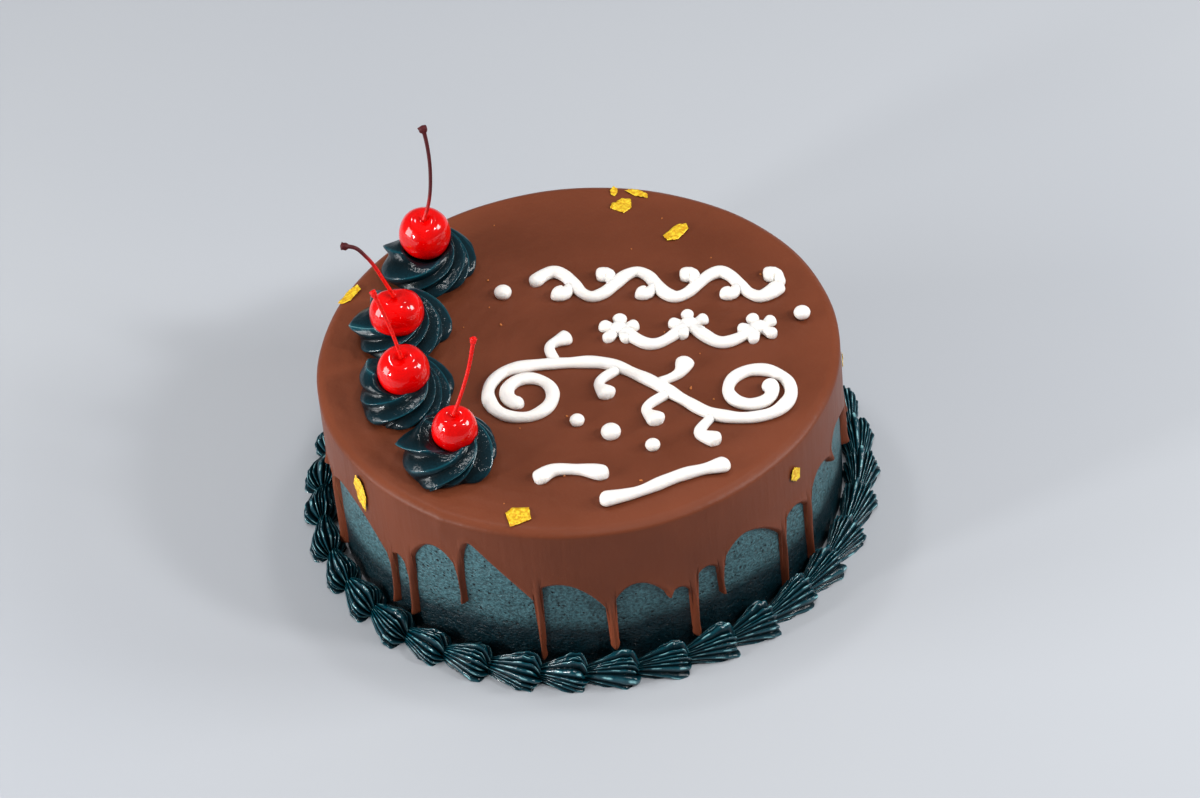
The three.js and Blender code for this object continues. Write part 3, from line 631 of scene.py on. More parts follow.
def frosted_cake():
    """The cake with its soft lower and upper edge, then the dents and waves of its scraped wall."""
    shoulder = CAKE_HEIGHT - CAKE_EDGE
    neck = CAKE_RADIUS - CAKE_EDGE
    profile = [(0, 0), (60, 0), (CAKE_RADIUS - 1.4, 0), (CAKE_RADIUS - 0.2, 0.5)]
    profile += [(CAKE_RADIUS, z) for z in np.linspace(1.6, shoulder, WALL_ROWS)]
    for turn in np.radians([22.5, 45, 67.5, 90]):
        profile.append((neck + CAKE_EDGE * math.cos(turn), shoulder + CAKE_EDGE * math.sin(turn)))
    profile += [(60, CAKE_HEIGHT), (0, CAKE_HEIGHT)]
    bm = revolved(profile, WALL_STEPS)
    for v in bm.verts:
        radius = math.hypot(v.co.x, v.co.y)
        if radius < 90:
            continue
        angle = math.atan2(v.co.y, v.co.x)
        dent = noise.noise(Vector((v.co.x / 4, v.co.y / 4, v.co.z / 4)))
        soft = noise.noise(Vector((v.co.x / 16, v.co.y / 16, v.co.z / 9)))
        out = float(wall_wave(angle, v.co.z)) - 0.45 * max(0, dent - 0.35) - 0.12 * soft
        v.co.x *= 1 + out / radius
        v.co.y *= 1 + out / radius
    return bm


class CAKE_OT_frosting(bpy.types.Operator):
    """Make the frosted cake with its scraped wall"""

    bl_idname = "cake.frosting"
    bl_label = "Frosted cake"

    def execute(self, context):
        finished("frosted_cake", frosted_cake(), smoothed_teal_buttercream, "cake")
        return {"FINISHED"}


# ------------------------------------------------------------------ chocolate coat


def all_drips():
    """The drips of the front, then those of the back drawn in the same manner."""
    draw = seeded(7)
    between = lambda low, high: low + (high - low) * next(draw)
    drips = list(FRONT_DRIPS)
    pitch = BACK_TO / (BACK_DRIPS + 1)
    for i in range(1, BACK_DRIPS + 1):
        angle = pitch * (i + between(-0.22, 0.22))
        tip = between(4, 11) if next(draw) < 0.6 else between(18, 34)
        crown = between(42, 58)
        crown_angle = angle + between(0.25, 0.45) * pitch
        beside = crown - between(4, 8)
        drips.append((angle, tip, beside, crown_angle, crown, between(32, 39), 0))
    names = ("angle", "tip", "beside", "crown_angle", "crown", "next", "straight")
    made = [dict(zip(names, drip)) for drip in drips]
    for i, drip in enumerate(made):
        drip["width"] = DRIP_WIDTH + DRIP_UNEVEN * math.sin(2.4 * i)
        drip["half"] = math.degrees(drip["width"] / 2 / COAT_RADIUS)
        drip["foot"] = min(made[i - 1]["next"], drip["beside"])
    return made


DRIPS = all_drips()
FLANK = math.degrees(DRIP_NECK / COAT_RADIUS)
ACROSS = [-1, -0.96, -0.86, -0.7, -0.48, -0.24, 0, 0.24, 0.48, 0.7, 0.86, 0.96, 1]


def arch_height(drip, start, end, angle):
    """Height of the coat's edge on the arch after a drip."""
    if angle <= drip["crown_angle"]:
        rise = (angle - start) / (drip["crown_angle"] - start)
        round_rise = max(0, math.sin(rise * math.pi / 2)) ** 0.75
        return drip["beside"] + (drip["crown"] - drip["beside"]) * round_rise
    run = (angle - drip["crown_angle"]) / (end - drip["crown_angle"])
    round_fall = max(0, math.cos(run * math.pi / 2)) ** 0.8
    fall = drip["straight"] * (1 - run) + (1 - drip["straight"]) * round_fall
    return drip["next"] + (drip["crown"] - drip["next"]) * fall


def coat_columns():
    """The coat's columns: angle, height of the edge, place across a drip, and the tip, half width,
    foot and angle of the nearest drip. Between drips the place is 9."""
    rows = []
    known = lambda drip: (drip["tip"], drip["width"] / 2, drip["foot"], drip["angle"])
    for drip, after in zip(DRIPS, DRIPS[1:] + DRIPS[:1]):
        for x in ACROSS:
            low = drip["tip"] + drip["width"] / 2 * (1 - math.sqrt(1 - x * x)) * 1.15
            rows.append((drip["angle"] + x * drip["half"], min(low, drip["foot"]), x, *known(drip)))
        start = drip["angle"] + drip["half"] + FLANK
        end = after["angle"] - after["half"] - FLANK
        end += 360 if end < start else 0
        steps = max(8, round((end - start) / 0.38))
        for k in range(steps + 1):
            angle = start + (end - start) * (0.5 - 0.5 * math.cos(math.pi * k / steps))
            nearest = drip if k < steps / 2 else after
            rows.append((angle, arch_height(drip, start, end, angle), 9, *known(nearest)))
    return np.array(rows)


def edge_distance(across, height, edge_x, edge_z, reach=9):
    """Distance of each point of the columns to the coat's edge, unrolled."""
    around = TURN * COAT_RADIUS
    wrapped = lambda gap: (gap + around / 2) % around - around / 2
    nearest = np.full(across.shape, 1e9)
    for shift in range(-reach, reach):
        ax, az = (np.roll(line, -shift)[:, None] for line in (edge_x, edge_z))
        bx, bz = (np.roll(line, -shift - 1)[:, None] for line in (edge_x, edge_z))
        px, pz = wrapped(across - ax), height - az
        sx, sz = wrapped(bx - ax), bz - az
        share = np.clip((px * sx + pz * sz) / np.maximum(sx**2 + sz**2, 1e-9), 0, 1)
        nearest = np.minimum(nearest, np.hypot(px - share * sx, pz - share * sz))
    return nearest


def rim_fall(reach):
    """How far the coat's top falls towards its rim."""
    return 1.1 * smoothstep(80, 100.5, reach)


def top_relief(x, y):
    """Height of the coat's top over its mean level: slow waves and the soft fall to the rim."""
    reach = np.hypot(x, y)
    slow = 0.16 * np.sin(x / 26 + 1.1) * np.cos(y / 31 + 0.4)
    slow = slow + 0.08 * np.sin((x + 1.6 * y) / 19)
    return slow * smoothstep(0, 20, reach) - rim_fall(reach)


def coat_surface(reach):
    """Height of the coat over the table at a distance from the axis."""
    over = np.clip(reach - (COAT_RADIUS - COAT_EDGE), 0, COAT_EDGE)
    return COAT_TOP - COAT_EDGE + np.sqrt(COAT_EDGE**2 - over**2) - rim_fall(reach)


def fine_start(edge, slope, angle, between):
    """The line where the fine rows start: a lip's width over the arches, level across a drip."""
    start = edge + 1.3 * sizes().lip / MM * np.clip(np.sqrt(1 + slope**2), 1, 4)
    order = np.argsort(angle)
    order = order[between[order]]
    start = np.where(between, start, np.interp(angle, angle[order], start[order]))
    for _ in range(6):
        start = (np.roll(start, 1) + 2 * start + np.roll(start, -1)) / 4
    return np.minimum(np.maximum(start, edge + 0.6), COAT_TOP - COAT_EDGE - 0.5)


def coat_grid(edge, start):
    """Radius and height of the coat in columns, from the middle of its top over the rim and down to
    its edge, then back up its inner face a little inside the frosting. The numbers of the rows
    where its side starts and ends come last."""
    neck, shoulder = COAT_RADIUS - COAT_EDGE, COAT_TOP - COAT_EDGE
    inner, underside = CAKE_RADIUS - 0.7, CAKE_HEIGHT - 0.8
    rows = [(r, COAT_TOP) for r in (0, 12, 26, 40, 54, 66, 76, 84, 89, 92.5, 95, 97, 98.8)]
    for turn in np.linspace(0, math.pi / 2, 10):
        rows.append((neck + COAT_EDGE * math.sin(turn), shoulder + COAT_EDGE * math.cos(turn)))
    first = len(rows)
    rows += [(COAT_RADIUS, shoulder + (start - shoulder) * share) for share in np.linspace(0, 1, 8)[1:]]
    rows += [(COAT_RADIUS, start + (edge - start) * (1 - left**2)) for left in np.linspace(1, 0, 18)[1:]]
    last = len(rows)
    rows += [(inner, edge + 0.8), (inner, 69), (99, underside), (0, underside)]
    blank = np.zeros(len(edge))
    reach, height = (np.array([blank + row[k] for row in rows]).T for k in (0, 1))
    return reach, height, first, last


def chocolate_coat():
    """The coat with its rounded edge, its drips and the soft waves of the cake under it."""
    columns = coat_columns()
    count = len(columns)
    angle, edge, across, tip, half, foot, centre = columns.T
    edge_x = np.radians(angle) * COAT_RADIUS
    between = across == 9
    lip = sizes().lip / MM
    start = fine_start(edge, np.abs(np.gradient(edge, edge_x)), angle, between)
    reach, height, first, last = coat_grid(edge, start)
    side = np.zeros(reach.shape, bool)
    side[:, first:last] = True

    # Rounded edge: the face falls back into the frosting within a lip's width of the edge.
    flat_x = np.repeat(edge_x[:, None], reach.shape[1], axis=1)
    near = edge_distance(flat_x, height, edge_x, edge)
    sunk = sizes().coat_sunk / MM
    full = COAT_RADIUS - CAKE_RADIUS + sunk
    bow = np.sqrt(1 - (1 - np.clip(near / lip, 0, 1)) ** 2)
    rim = 0.25 * np.exp(-(((near - 1.1 * lip) / (0.6 * lip)) ** 2))
    # Drips stand out along their middle, most of all at the tip.
    aside = ((angle - centre + 180) % 360 - 180) * math.radians(COAT_RADIUS)
    in_drip = np.exp(-((aside / 1.3) ** 2))[:, None]
    below = smoothstep(0, 9, (foot[:, None] + 6) - height)
    bulb = np.exp(-(((height - tip[:, None] - 2) / 2.6) ** 2))
    proud = in_drip * (0.55 * below + 0.75 * bulb)
    reach = np.where(side, CAKE_RADIUS - sunk + full * bow + (rim + proud) * bow, reach)
    # A fold where the pour ran down slowly.
    fold = np.exp(-(((angle[:, None] - FOLD_AT) / 1.5) ** 2))
    reach = reach + 0.45 * fold * smoothstep(58, 66, height) * (reach > 99)

    # Drips swell at the tip, thin out above it and sway a little.
    x_across = np.where(between, 0, across)[:, None]
    swell = 0.24 * bulb - 0.26 * below
    sway = 0.35 * np.sin(height / 8 + angle[:, None]) * smoothstep(0, 8, foot[:, None] - height)
    shift = np.where(between[:, None] | ~side, 0, x_across * half[:, None] * swell + sway)
    turn = np.radians(angle)[:, None] + shift / COAT_RADIUS

    wave = wall_wave(turn, height) * smoothstep(85, 100, reach)
    out = reach * (1 + wave / np.maximum(reach, 1))
    x, y = out * np.cos(turn), out * np.sin(turn)
    height[:, :first] += (top_relief(x, y) * smoothstep(71, 75, height))[:, :first]
    # Where the lip's painted highlight lies: close to the coat's edge on its side.
    thin = np.where(side, np.exp(-near / (0.3 * lip)), 0)

    def place(u, v):
        column = np.round(u * count).astype(int) % count
        row = np.round(v * (reach.shape[1] - 1)).astype(int)
        points = np.stack([x[column, row], y[column, row], height[column, row]], axis=1)
        return points, {"lip": thin[column, row]}

    return rolled(count, reach.shape[1] - 1, place)


def leaf_outline(length, width, draw):
    """Corners of a torn scrap of leaf."""
    corners = []
    for i in range(6):
        turn = (i + 0.5 * next(draw)) / 6 * TURN
        reach = 0.36 + 0.2 * next(draw)
        corners.append((length * reach * math.cos(turn), width * reach * math.sin(turn), 0))
    return corners


def leaf_scrap(outline, seed):
    """A thin crinkled scrap, a little lifted at its corners."""
    bm = bmesh.new()
    bm.faces.new([bm.verts.new(corner) for corner in outline])
    bmesh.ops.triangulate(bm, faces=bm.faces)
    bmesh.ops.subdivide_edges(bm, edges=bm.edges, cuts=7, use_grid_fill=True)
    for v in bm.verts:
        fold = noise.noise(Vector((v.co.x / 1.9, v.co.y / 1.4, seed)))
        fine = noise.noise(Vector((v.co.x / 0.7, v.co.y / 0.7, seed + 5)))
        edge = v.co.length / 9
        v.co.x += 0.25 * fine
        v.co.y += 0.25 * noise.noise(Vector((v.co.y / 0.8, v.co.x / 0.8, seed + 9)))
        v.co.z = 0.35 + 0.55 * abs(fold) + 0.2 * fine + 0.35 * edge * edge
    bmesh.ops.recalc_face_normals(bm, faces=bm.faces)
    bmesh.ops.solidify(bm, geom=bm.verts[:] + bm.edges[:] + bm.faces[:], thickness=0.12)
    return bm


def leaf_scraps():
    """Scraps of leaf on the top, tipped over its rounded rim, and on the side."""
    draw = seeded(31)
    places = []
    for i, (angle, reach, *shape) in enumerate(TOP_LEAVES):
        over = min(1, max(0, reach - (COAT_RADIUS - COAT_EDGE)) / COAT_EDGE)
        places.append((i, angle, reach, float(coat_surface(reach)), math.asin(over), *shape))
    for i, (angle, height, *shape) in enumerate(SIDE_LEAVES, 20):
        places.append((i, angle, COAT_RADIUS, height, math.pi / 2, *shape))
    scraps = []
    for seed, angle, reach, height, slope, length, width, turn in places:
        scrap = leaf_scrap(leaf_outline(length, width, draw), seed)
        place = Matrix.Rotation(math.radians(angle), 4, "Z") @ Matrix.Translation((reach, 0, height))
        place = place @ Matrix.Rotation(slope, 4, "Y") @ Matrix.Rotation(math.radians(turn), 4, "Z")
        bmesh.ops.transform(scrap, matrix=place, verts=scrap.verts)
        scraps.append(scrap)
    return merged(scraps)


def crumbs():
    """Tiny crumbs strewn over the coat's top, out of its innermost 13 mm."""
    rng = random.Random(41)
    parts = []
    for _ in range(sizes().crumbs):
        turn, reach = rng.uniform(0, TURN), 92 * math.sqrt(rng.uniform(0.02, 1))
        x, y = reach * math.cos(turn), reach * math.sin(turn)
        size = rng.uniform(0.28, 0.62)
        bm = bmesh.new()
        bmesh.ops.create_icosphere(bm, subdivisions=1, radius=size)
        for v in bm.verts:
            v.co *= rng.uniform(0.75, 1.2)
        spin = Matrix.Rotation(rng.uniform(0, TURN), 4, "Z") @ Matrix.Diagonal((1.3, 0.9, 0.7, 1))
        lift = COAT_TOP + float(top_relief(x, y)) + 0.35 * size
        bmesh.ops.transform(bm, matrix=Matrix.Translation((x, y, lift)) @ spin, verts=bm.verts)
        parts.append(bm)
    return merged(parts)


class CAKE_OT_coat(bpy.types.Operator):
    """Pour the chocolate coat with its drips"""

    bl_idname = "cake.coat"
    bl_label = "Chocolate coat"

    def execute(self, context):
        finished("poured_coat", chocolate_coat(), poured_milk_chocolate, "chocolate")
        return {"FINISHED"}


class CAKE_OT_flakes(bpy.types.Operator):
    """Lay the gold leaf and the crumbs on the coat"""

    bl_idname = "cake.flakes"
    bl_label = "Gold leaf and crumbs"

    def execute(self, context):
        finished("gold_leaf", leaf_scraps(), gold_leaf, "chocolate")
        finished("crumbs", crumbs(), toasted_crumb, "chocolate")
        return {"FINISHED"}


# ------------------------------------------------------------------ rosettes and cherries

ROSETTE_RIDGES = 8
# Height and crest radius from the base to the collar and down into the bowl under the cherry,
# with the share of the whole twist and of the grooves' depth there.
ROSETTE_RISE = [
    (-0.6, 16.8, 0, 0.2),
    (0.5, 18.4, 0.02, 0.6),
    (2.2, 19.4, 0.07, 0.95),
    (4.4, 19.5, 0.18, 1.1),
    (6.8, 18.6, 0.33, 1.1),
    (9.2, 17, 0.5, 1),
    (11.4, 15.1, 0.67, 0.9),
    (13, 13.2, 0.8, 0.62),
    (14, 11.6, 0.9, 0.38),
    (14.2, 10.4, 0.95, 0.25),
    (12.8, 8.8, 1, 0.25),
    (10, 7, 1, 0.1),
    (7, 4, 1, 0),
    (6, 0, 1, 0),
]


def rosette(index):
    """A piped swirl whose ridges climb round into a collar, with a bowl pressed by its cherry."""
    topping = TOPPINGS[index]
    base = math.radians(-20 + 17 * index)
    known = np.linspace(0, 1, len(ROSETTE_RISE))
    levels, crests, twists, depths = np.array(ROSETTE_RISE).T
    centre = np.array(topping["cherry"], float)
    groove = sizes().rosette_groove / MM

    def place(u, v):
        turn = u * TURN
        level, crest = np.interp(v, known, levels), np.interp(v, known, crests)
        twist, depth = np.interp(v, known, twists), np.interp(v, known, depths)
        # The ridges sweep further round at the front left than at the back right.
        sweep = np.radians(104 + 22 * np.cos(turn + 2.4 + 0.3 * index))
        wobble = -0.42 * np.sin(turn - 2.2) + 0.1 * np.sin(3 * turn + 2 * index)
        phase = (turn - base + wobble) / TURN * ROSETTE_RIDGES
        number = np.floor(phase + 0.5) % ROSETTE_RIDGES
        across = np.abs(2 * (phase % 1) ** 1.25 - 1)
        # Lobes at the foot, folds with a sharp crest above.
        lobe, fold = 0.5 - 0.5 * np.cos(math.pi * across), across**1.7
        foot = smoothstep(0.36, 0.14, v)
        ridge = lobe * foot + fold * (1 - foot)
        stray = np.sin(2.4 * number + 1.7 * index)
        depth = depth * groove * (1 - 0.3 * smoothstep(-0.2, 0.8, np.cos(turn - 2.8)))
        lean = 0.12 * (ridge - 0.4) * TURN / ROSETTE_RIDGES * np.interp(v, known, depths)
        angle = turn + sweep * twist + lean
        uneven = (0.5 * stray - 1.2 * (number % 2)) * smoothstep(0.8, 0.4, v)
        radius = crest - depth * (1 - ridge) + uneven * ridge
        # Corners are drawn out at the left and back, and lobes are thicker on the right.
        corner = 3.2 * smoothstep(-0.1, 0.9, np.cos(angle - 2.6)) * np.exp(-np.abs(v - 0.36) / 0.06)
        radius = radius + corner * across**3
        radius = radius + 0.9 * smoothstep(-0.2, 0.9, np.cos(angle - 0.1)) * lobe * smoothstep(0.5, 0.2, v)
        radius = radius * (1 + 0.025 * np.sin(3 * turn + index) + 0.015 * np.sin(5 * turn + 2 * index))
        radius = radius + 0.12 * np.sin(9 * turn + 14 * v + index) * np.sin(23 * v + 5 * turn)
        # The cut end where the piping started, low at the front left.
        behind = (turn - math.radians(240)) % TURN / TURN
        step = smoothstep(0, 0.01, behind) * smoothstep(0.3, 0.05, behind)
        radius = radius + 1.5 * step * smoothstep(0.36, 0.16, v) * smoothstep(0, 0.06, v)
        # The collar is pushed down at the front, where the cherry leans over it.
        level = level + 0.7 * ridge * smoothstep(0.2, 0.6, v) * smoothstep(0.8, 0.65, v)
        level = level - 3.4 * smoothstep(0.2, 0.7, v) * (0.5 - 0.5 * np.sin(angle)) ** 1.5
        points = np.stack([radius * np.cos(angle), radius * np.sin(angle), level], axis=1)
        # The bowl lies under the cherry, which isn't always in the middle.
        points[:, :2] += centre[:2] * smoothstep(0.69, 0.8, v)[:, None]
        # The base follows the coat where the rosette reaches over its rounded edge.
        world = points + np.array([*topping["at"], TOP_LEVEL])
        drop = coat_surface(np.hypot(world[:, 0], world[:, 1])) - COAT_TOP
        points[:, 2] += drop * smoothstep(0.5, 0, v)
        # The cherry presses its bowl into the middle.
        away = (points - centre) / np.array([1, 1, topping["tall"]])
        distance = np.linalg.norm(away, axis=1)
        pressed = np.maximum(distance, topping["radius"] + 0.1) / np.maximum(distance, 1e-6)
        points = centre + (points - centre) * pressed[:, None]
        # Painted shade and highlights: darker in the grooves and at the rosette's lowest edge, pale along
        # the crest lines, less so on the foot's lobes.
        mark = (0.55 * ridge + 0.38 * across**18 * (1 - 0.6 * foot)) * smoothstep(0, 0.08, v)
        return points + np.array([*topping["at"], TOP_LEVEL]), {"crest": np.clip(mark, 0, 1)}

    return rolled(ROSETTE_RIDGES * 24, 56, place)


def cherry(topping):
    """A cherry with its dimple on top and a cleft down its front and back, open behind the dimple."""
    radius, tall, cleft = topping["radius"], topping["tall"], topping["cleft"]
    bm = bmesh.new()
    bmesh.ops.create_uvsphere(bm, u_segments=64, v_segments=40, radius=1)
    for v in bm.verts:
        polar = math.acos(max(-1, min(1, v.co.z)))
        side = abs(v.co.y) / max(1e-6, math.hypot(v.co.x, v.co.y))
        groove = cleft * math.sin(polar / 2 + 0.6) ** 6 * side**8 * (1 if polar < 1.6 else 0.4)
        behind = 1.1 * cleft * math.exp(-(((polar - 0.75) / 0.4) ** 2)) * side**4 * (v.co.y > 0)
        groove = max(groove, behind)
        uneven = 1 + 0.035 * noise.noise(v.co * 1.3 + Vector(topping["cherry"]))
        reach = radius * (1 - groove) * uneven
        dimple = DIMPLE_DEPTH * math.exp(-((polar / DIMPLE_SPREAD) ** 2)) * radius
        v.co = Vector((v.co.x * reach, v.co.y * reach, v.co.z * reach * tall - dimple))
    tilt = Matrix.Rotation(math.radians(topping["tilt"]), 4, "X")
    bmesh.ops.transform(bm, matrix=Matrix.Translation(cherry_centre(topping)) @ tilt, verts=bm.verts)
    return bm


def cherry_centre(topping):
    return Vector((*topping["at"], TOP_LEVEL)) + Vector(topping["cherry"])


def stem(topping):
    """A stalk from the cherry's dimple, with a rough knob where it was picked."""
    depth = topping["radius"] * (topping["tall"] - DIMPLE_DEPTH)
    tilt = math.radians(topping["tilt"])
    root = np.array(cherry_centre(topping)) + depth * np.array([0, -math.sin(tilt), math.cos(tilt)])
    line, lengths = course(root + np.array(topping["stem"]) + np.array([0, 0, 0.3]), power=1)
    length = lengths[-1]
    knob = topping["knob"]

    def place(u, v):
        distance = v * length
        centre, ahead = along(line, lengths, distance)
        aside = np.cross(ahead, (0, 1, 0))
        aside /= np.linalg.norm(aside, axis=1)[:, None]
        third = np.cross(ahead, aside)
        rest = length - distance
        radius = 0.74 + 0.3 * np.exp(-distance / 2.5) + 0.2 * np.exp(-rest / 7)
        bulge = smoothstep(3.6, 2.2, rest)
        turn = u * TURN
        lumps = 1 + bulge * (0.16 * np.sin(3 * turn + 1) + 0.12 * np.sin(5 * turn + rest * 2))
        radius = (radius + (knob - radius) * bulge) * lumps
        radius = radius * np.where(rest < 0.5, np.sqrt(np.clip(rest / 0.5, 0, 1)), 1)
        radius = radius * np.where(distance < 0.01, 0, 1)
        round_it = aside * np.cos(turn)[:, None] + third * np.sin(turn)[:, None]
        points = centre + round_it * radius[:, None]
        dried = smoothstep(topping["withered"] - 0.2, topping["withered"] + 0.25, v)
        return points, {"withered": dried}

    return rolled(14, 64, place)


class CAKE_OT_rosettes(bpy.types.Operator):
    """Pipe the four rosettes"""

    bl_idname = "cake.rosettes"
    bl_label = "Rosettes"

    def execute(self, context):
        for i in range(len(TOPPINGS)):
            node = f"rosette_{i + 1}"
            finished(f"piped_{node}", rosette(i), piped_dark_buttercream, node)
        return {"FINISHED"}


class CAKE_OT_cherries(bpy.types.Operator):
    """Set a cherry with its stalk on each rosette"""

    bl_idname = "cake.cherries"
    bl_label = "Cherries"

    def execute(self, context):
        for i, topping in enumerate(TOPPINGS, 1):
            finished(f"glazed_cherry_{i}", cherry(topping), glazed_cherry_skin, f"cherry_{i}")
            finished(f"stalk_{i}", stem(topping), dyed_cherry_stalk, f"cherry_stem_{i}")
        return {"FINISHED"}


# ------------------------------------------------------------------ shell border

SHELL_STRANDS = 12
ARC_SHARE = 0.88  # share of a shell's columns over its arc, the rest runs back underneath


def shell_joints():
    """Angles of the joints between the shells, a little uneven."""
    draw = seeded(5)
    pitch = 360 / SHELL_COUNT
    joints = []
    for i in range(SHELL_COUNT):
        joints.append(SHELL_START + pitch * (i - 0.5 + SHELL_UNEVEN * (next(draw) - 0.5)))
    return [*joints, joints[0] + 360]


def shell(middle, span, size, rng):
    """A shell whose strands fan from the narrow tail to the blunt head over the next tail."""
    groove = sizes().groove
    bend, skew = rng.uniform(-0.5, 0.5), rng.uniform(-0.5, 0.5)
    tall_size, wide_size = size * rng.uniform(0.93, 1.03), size * rng.uniform(0.95, 1.03)
    first, second = rng.uniform(0, TURN), rng.uniform(0, TURN)

    def place(u, v):
        arc = np.clip(u / ARC_SHARE, 0, 1) * math.pi
        over = u <= ARC_SHARE
        flat = np.clip((u - ARC_SHARE) / (1 - ARC_SHARE), 0, 1)
        wide = np.where(over, np.cos(arc), -1 + 2 * flat)
        tall = np.where(over, np.sin(arc), 0)
        # Strands splay: close together at the tail, and the outer ones run out along the sides.
        share = 0.5 + (arc / math.pi - 0.5) * (1.3 - 0.5 * v)
        uneven = 0.028 * np.sin(2 * TURN * share + first) + 0.015 * np.sin(3 * TURN * share + second)
        phase = (share + uneven) * SHELL_STRANDS + bend * v * np.sin(arc) + 20
        strand = np.where(over, np.abs(np.sin(phase * math.pi)) ** 0.55, 0)
        stray = np.sin(2.4 * np.floor(phase) + first)
        # Rows: a small round tail, the widening back, then the blunt head.
        head = np.clip((v - 0.64) / 0.36, 0, 1) * math.pi / 2
        tail = np.clip(1 - v / 0.07, 0, 1) * math.pi / 2
        back = np.clip((v - 0.07) / 0.57, 0, 1)
        at = -0.13 - 0.03 * np.sin(tail) + 0.85 * back + 0.25 * np.sin(head)
        at = at + over * np.sin(head) ** 2 * (0.1 * strand + 0.045 * stray * strand - 0.065)
        grow = 0.27 + 0.73 * back**0.85
        close = np.cos(head) ** 0.62 * np.cos(tail)
        knob = 0.15 * strand * np.exp(-(((head - 0.85) / 0.33) ** 2))
        groove_here = groove * (0.8 + 0.2 * back) * (1 + 0.6 * np.sin(head))
        ripple = 0.02 * np.sin(34 * v + 5 * np.floor(phase) + second) * strand * back
        body = 1 - groove_here * (1 - strand) + knob + 0.05 * stray * strand * back + ripple
        width = 7.8 * wide_size * grow * close * body
        height = 12.9 * tall_size * grow**0.85 * close**0.9 * body
        reach = SHELL_RADIUS - 2.2 * (1 - grow) + width * wide + skew * (back - 0.5)
        reach = np.maximum(reach, CAKE_RADIUS + 0.05)
        angle = np.radians(middle + span * (at - 0.5))
        level = np.where(over, height * tall, 0)
        points = np.stack([reach * np.cos(angle), reach * np.sin(angle), level], axis=1)
        # Painted highlights: short streaks of light along the tops of the strands. The crest attribute also
        # paints shade, dark in the grooves and at the tail, under the head of the shell before.
        dash = smoothstep(0.1, 0.8, np.sin(19 * v + 4.1 * np.floor(phase) + first))
        dash = dash * smoothstep(0.93, 1, strand)
        return points, {"crest": np.clip(0.84 * strand**2.3 * np.cos(tail) + 0.16 * dash, 0, 1)}

    return rolled(SHELL_STRANDS * 11 + 18, 42, place)


class CAKE_OT_shells(bpy.types.Operator):
    """Pipe the shell border round the base"""

    bl_idname = "cake.shells"
    bl_label = "Shell border"

    def execute(self, context):
        draw = seeded(11)
        rng = random.Random(3)
        joints = shell_joints()
        for i in range(SHELL_COUNT):
            span = joints[i + 1] - joints[i]
            middle = (joints[i] + joints[i + 1]) / 2
            made = shell(middle, span, 0.97 + 0.05 * next(draw), rng)
            node = f"shell_{i + 1:02d}"
            finished(f"piped_{node}", made, piped_dark_buttercream, node)
        return {"FINISHED"}


# ------------------------------------------------------------------ white piped scrolls


def bead(points, width=BEAD_WIDTH, start=1.35, end=1.35):
    """A line of icing piped along a flat curve, uneven, blobbed where it starts and stops."""
    line, lengths = course(points)
    length = lengths[-1]
    half = width / 2
    places = stations(length, half * 1.2, 0.9)
    seed = points[0][0] * 0.7 + points[-1][1]

    def place(u, v):
        distance = places[np.round(v * (len(places) - 1)).astype(int)]
        centre, ahead = along(line, lengths, distance)
        rest = length - distance
        swell = 1 + (start - 1) * np.exp(-((distance - half) / width) ** 2)
        swell *= 1 + (end - 1) * np.exp(-((rest - half) / width) ** 2)
        uneven = 1 + 0.07 * np.sin(distance / 4.7 + seed) + 0.05 * np.sin(distance / 2.1 + 2 * seed)
        cap = half * 1.2
        rounded = np.sqrt(1 - (1 - np.clip(np.minimum(distance, rest) / cap, 0, 1)) ** 2)
        reach = half * swell * uneven * rounded
        turn = u * TURN
        aside = reach * np.cos(turn) + 0.25 * np.sin(distance / 6 + seed)
        tall = BEAD_HEIGHT * np.sqrt(reach / (BEAD_WIDTH / 2)) * 1.04
        level = np.maximum(0, tall * (0.4 + 0.6 * np.sin(turn))) - 0.5
        x = centre[:, 0] - ahead[:, 1] * aside
        y = centre[:, 1] + ahead[:, 0] * aside
        return turned_z(np.stack([x, y, level + TOP_LEVEL], axis=1), math.radians(SCROLL_TURN)), {}

    return rolled(18, len(places) - 1, place)


def pearl(x, y, radius):
    """A round drop of icing with the small soft peak that the tip leaves."""
    profile = [(0, -0.5), (0.8, -0.5), (0.95, 0.15), (1, 0.42), (0.93, 0.66), (0.78, 0.85), (0.55, 0.98)]
    profile += [(0.3, 1.05), (0.12, 1.1), (0, 1.12)]
    bm = revolved([(r * radius, z * radius if z > 0 else z) for r, z in profile], 28)
    place = Matrix.Rotation(math.radians(SCROLL_TURN), 4, "Z") @ Matrix.Translation((x, y, TOP_LEVEL))
    bmesh.ops.transform(bm, matrix=place, verts=bm.verts)
    return bm


def spiral(volute, first, last, angle):
    """Points of a flat spiral from one radius to another, starting at an angle."""
    x, y = volute["centre"]
    points = []
    for share in np.linspace(0, 1, round(volute["turns"] * 9) + 1):
        turn = math.radians(angle + volute["way"] * 360 * volute["turns"] * share)
        reach = first + (last - first) * share
        points.append((x + reach * math.cos(turn), y + reach * math.sin(turn)))
    return points


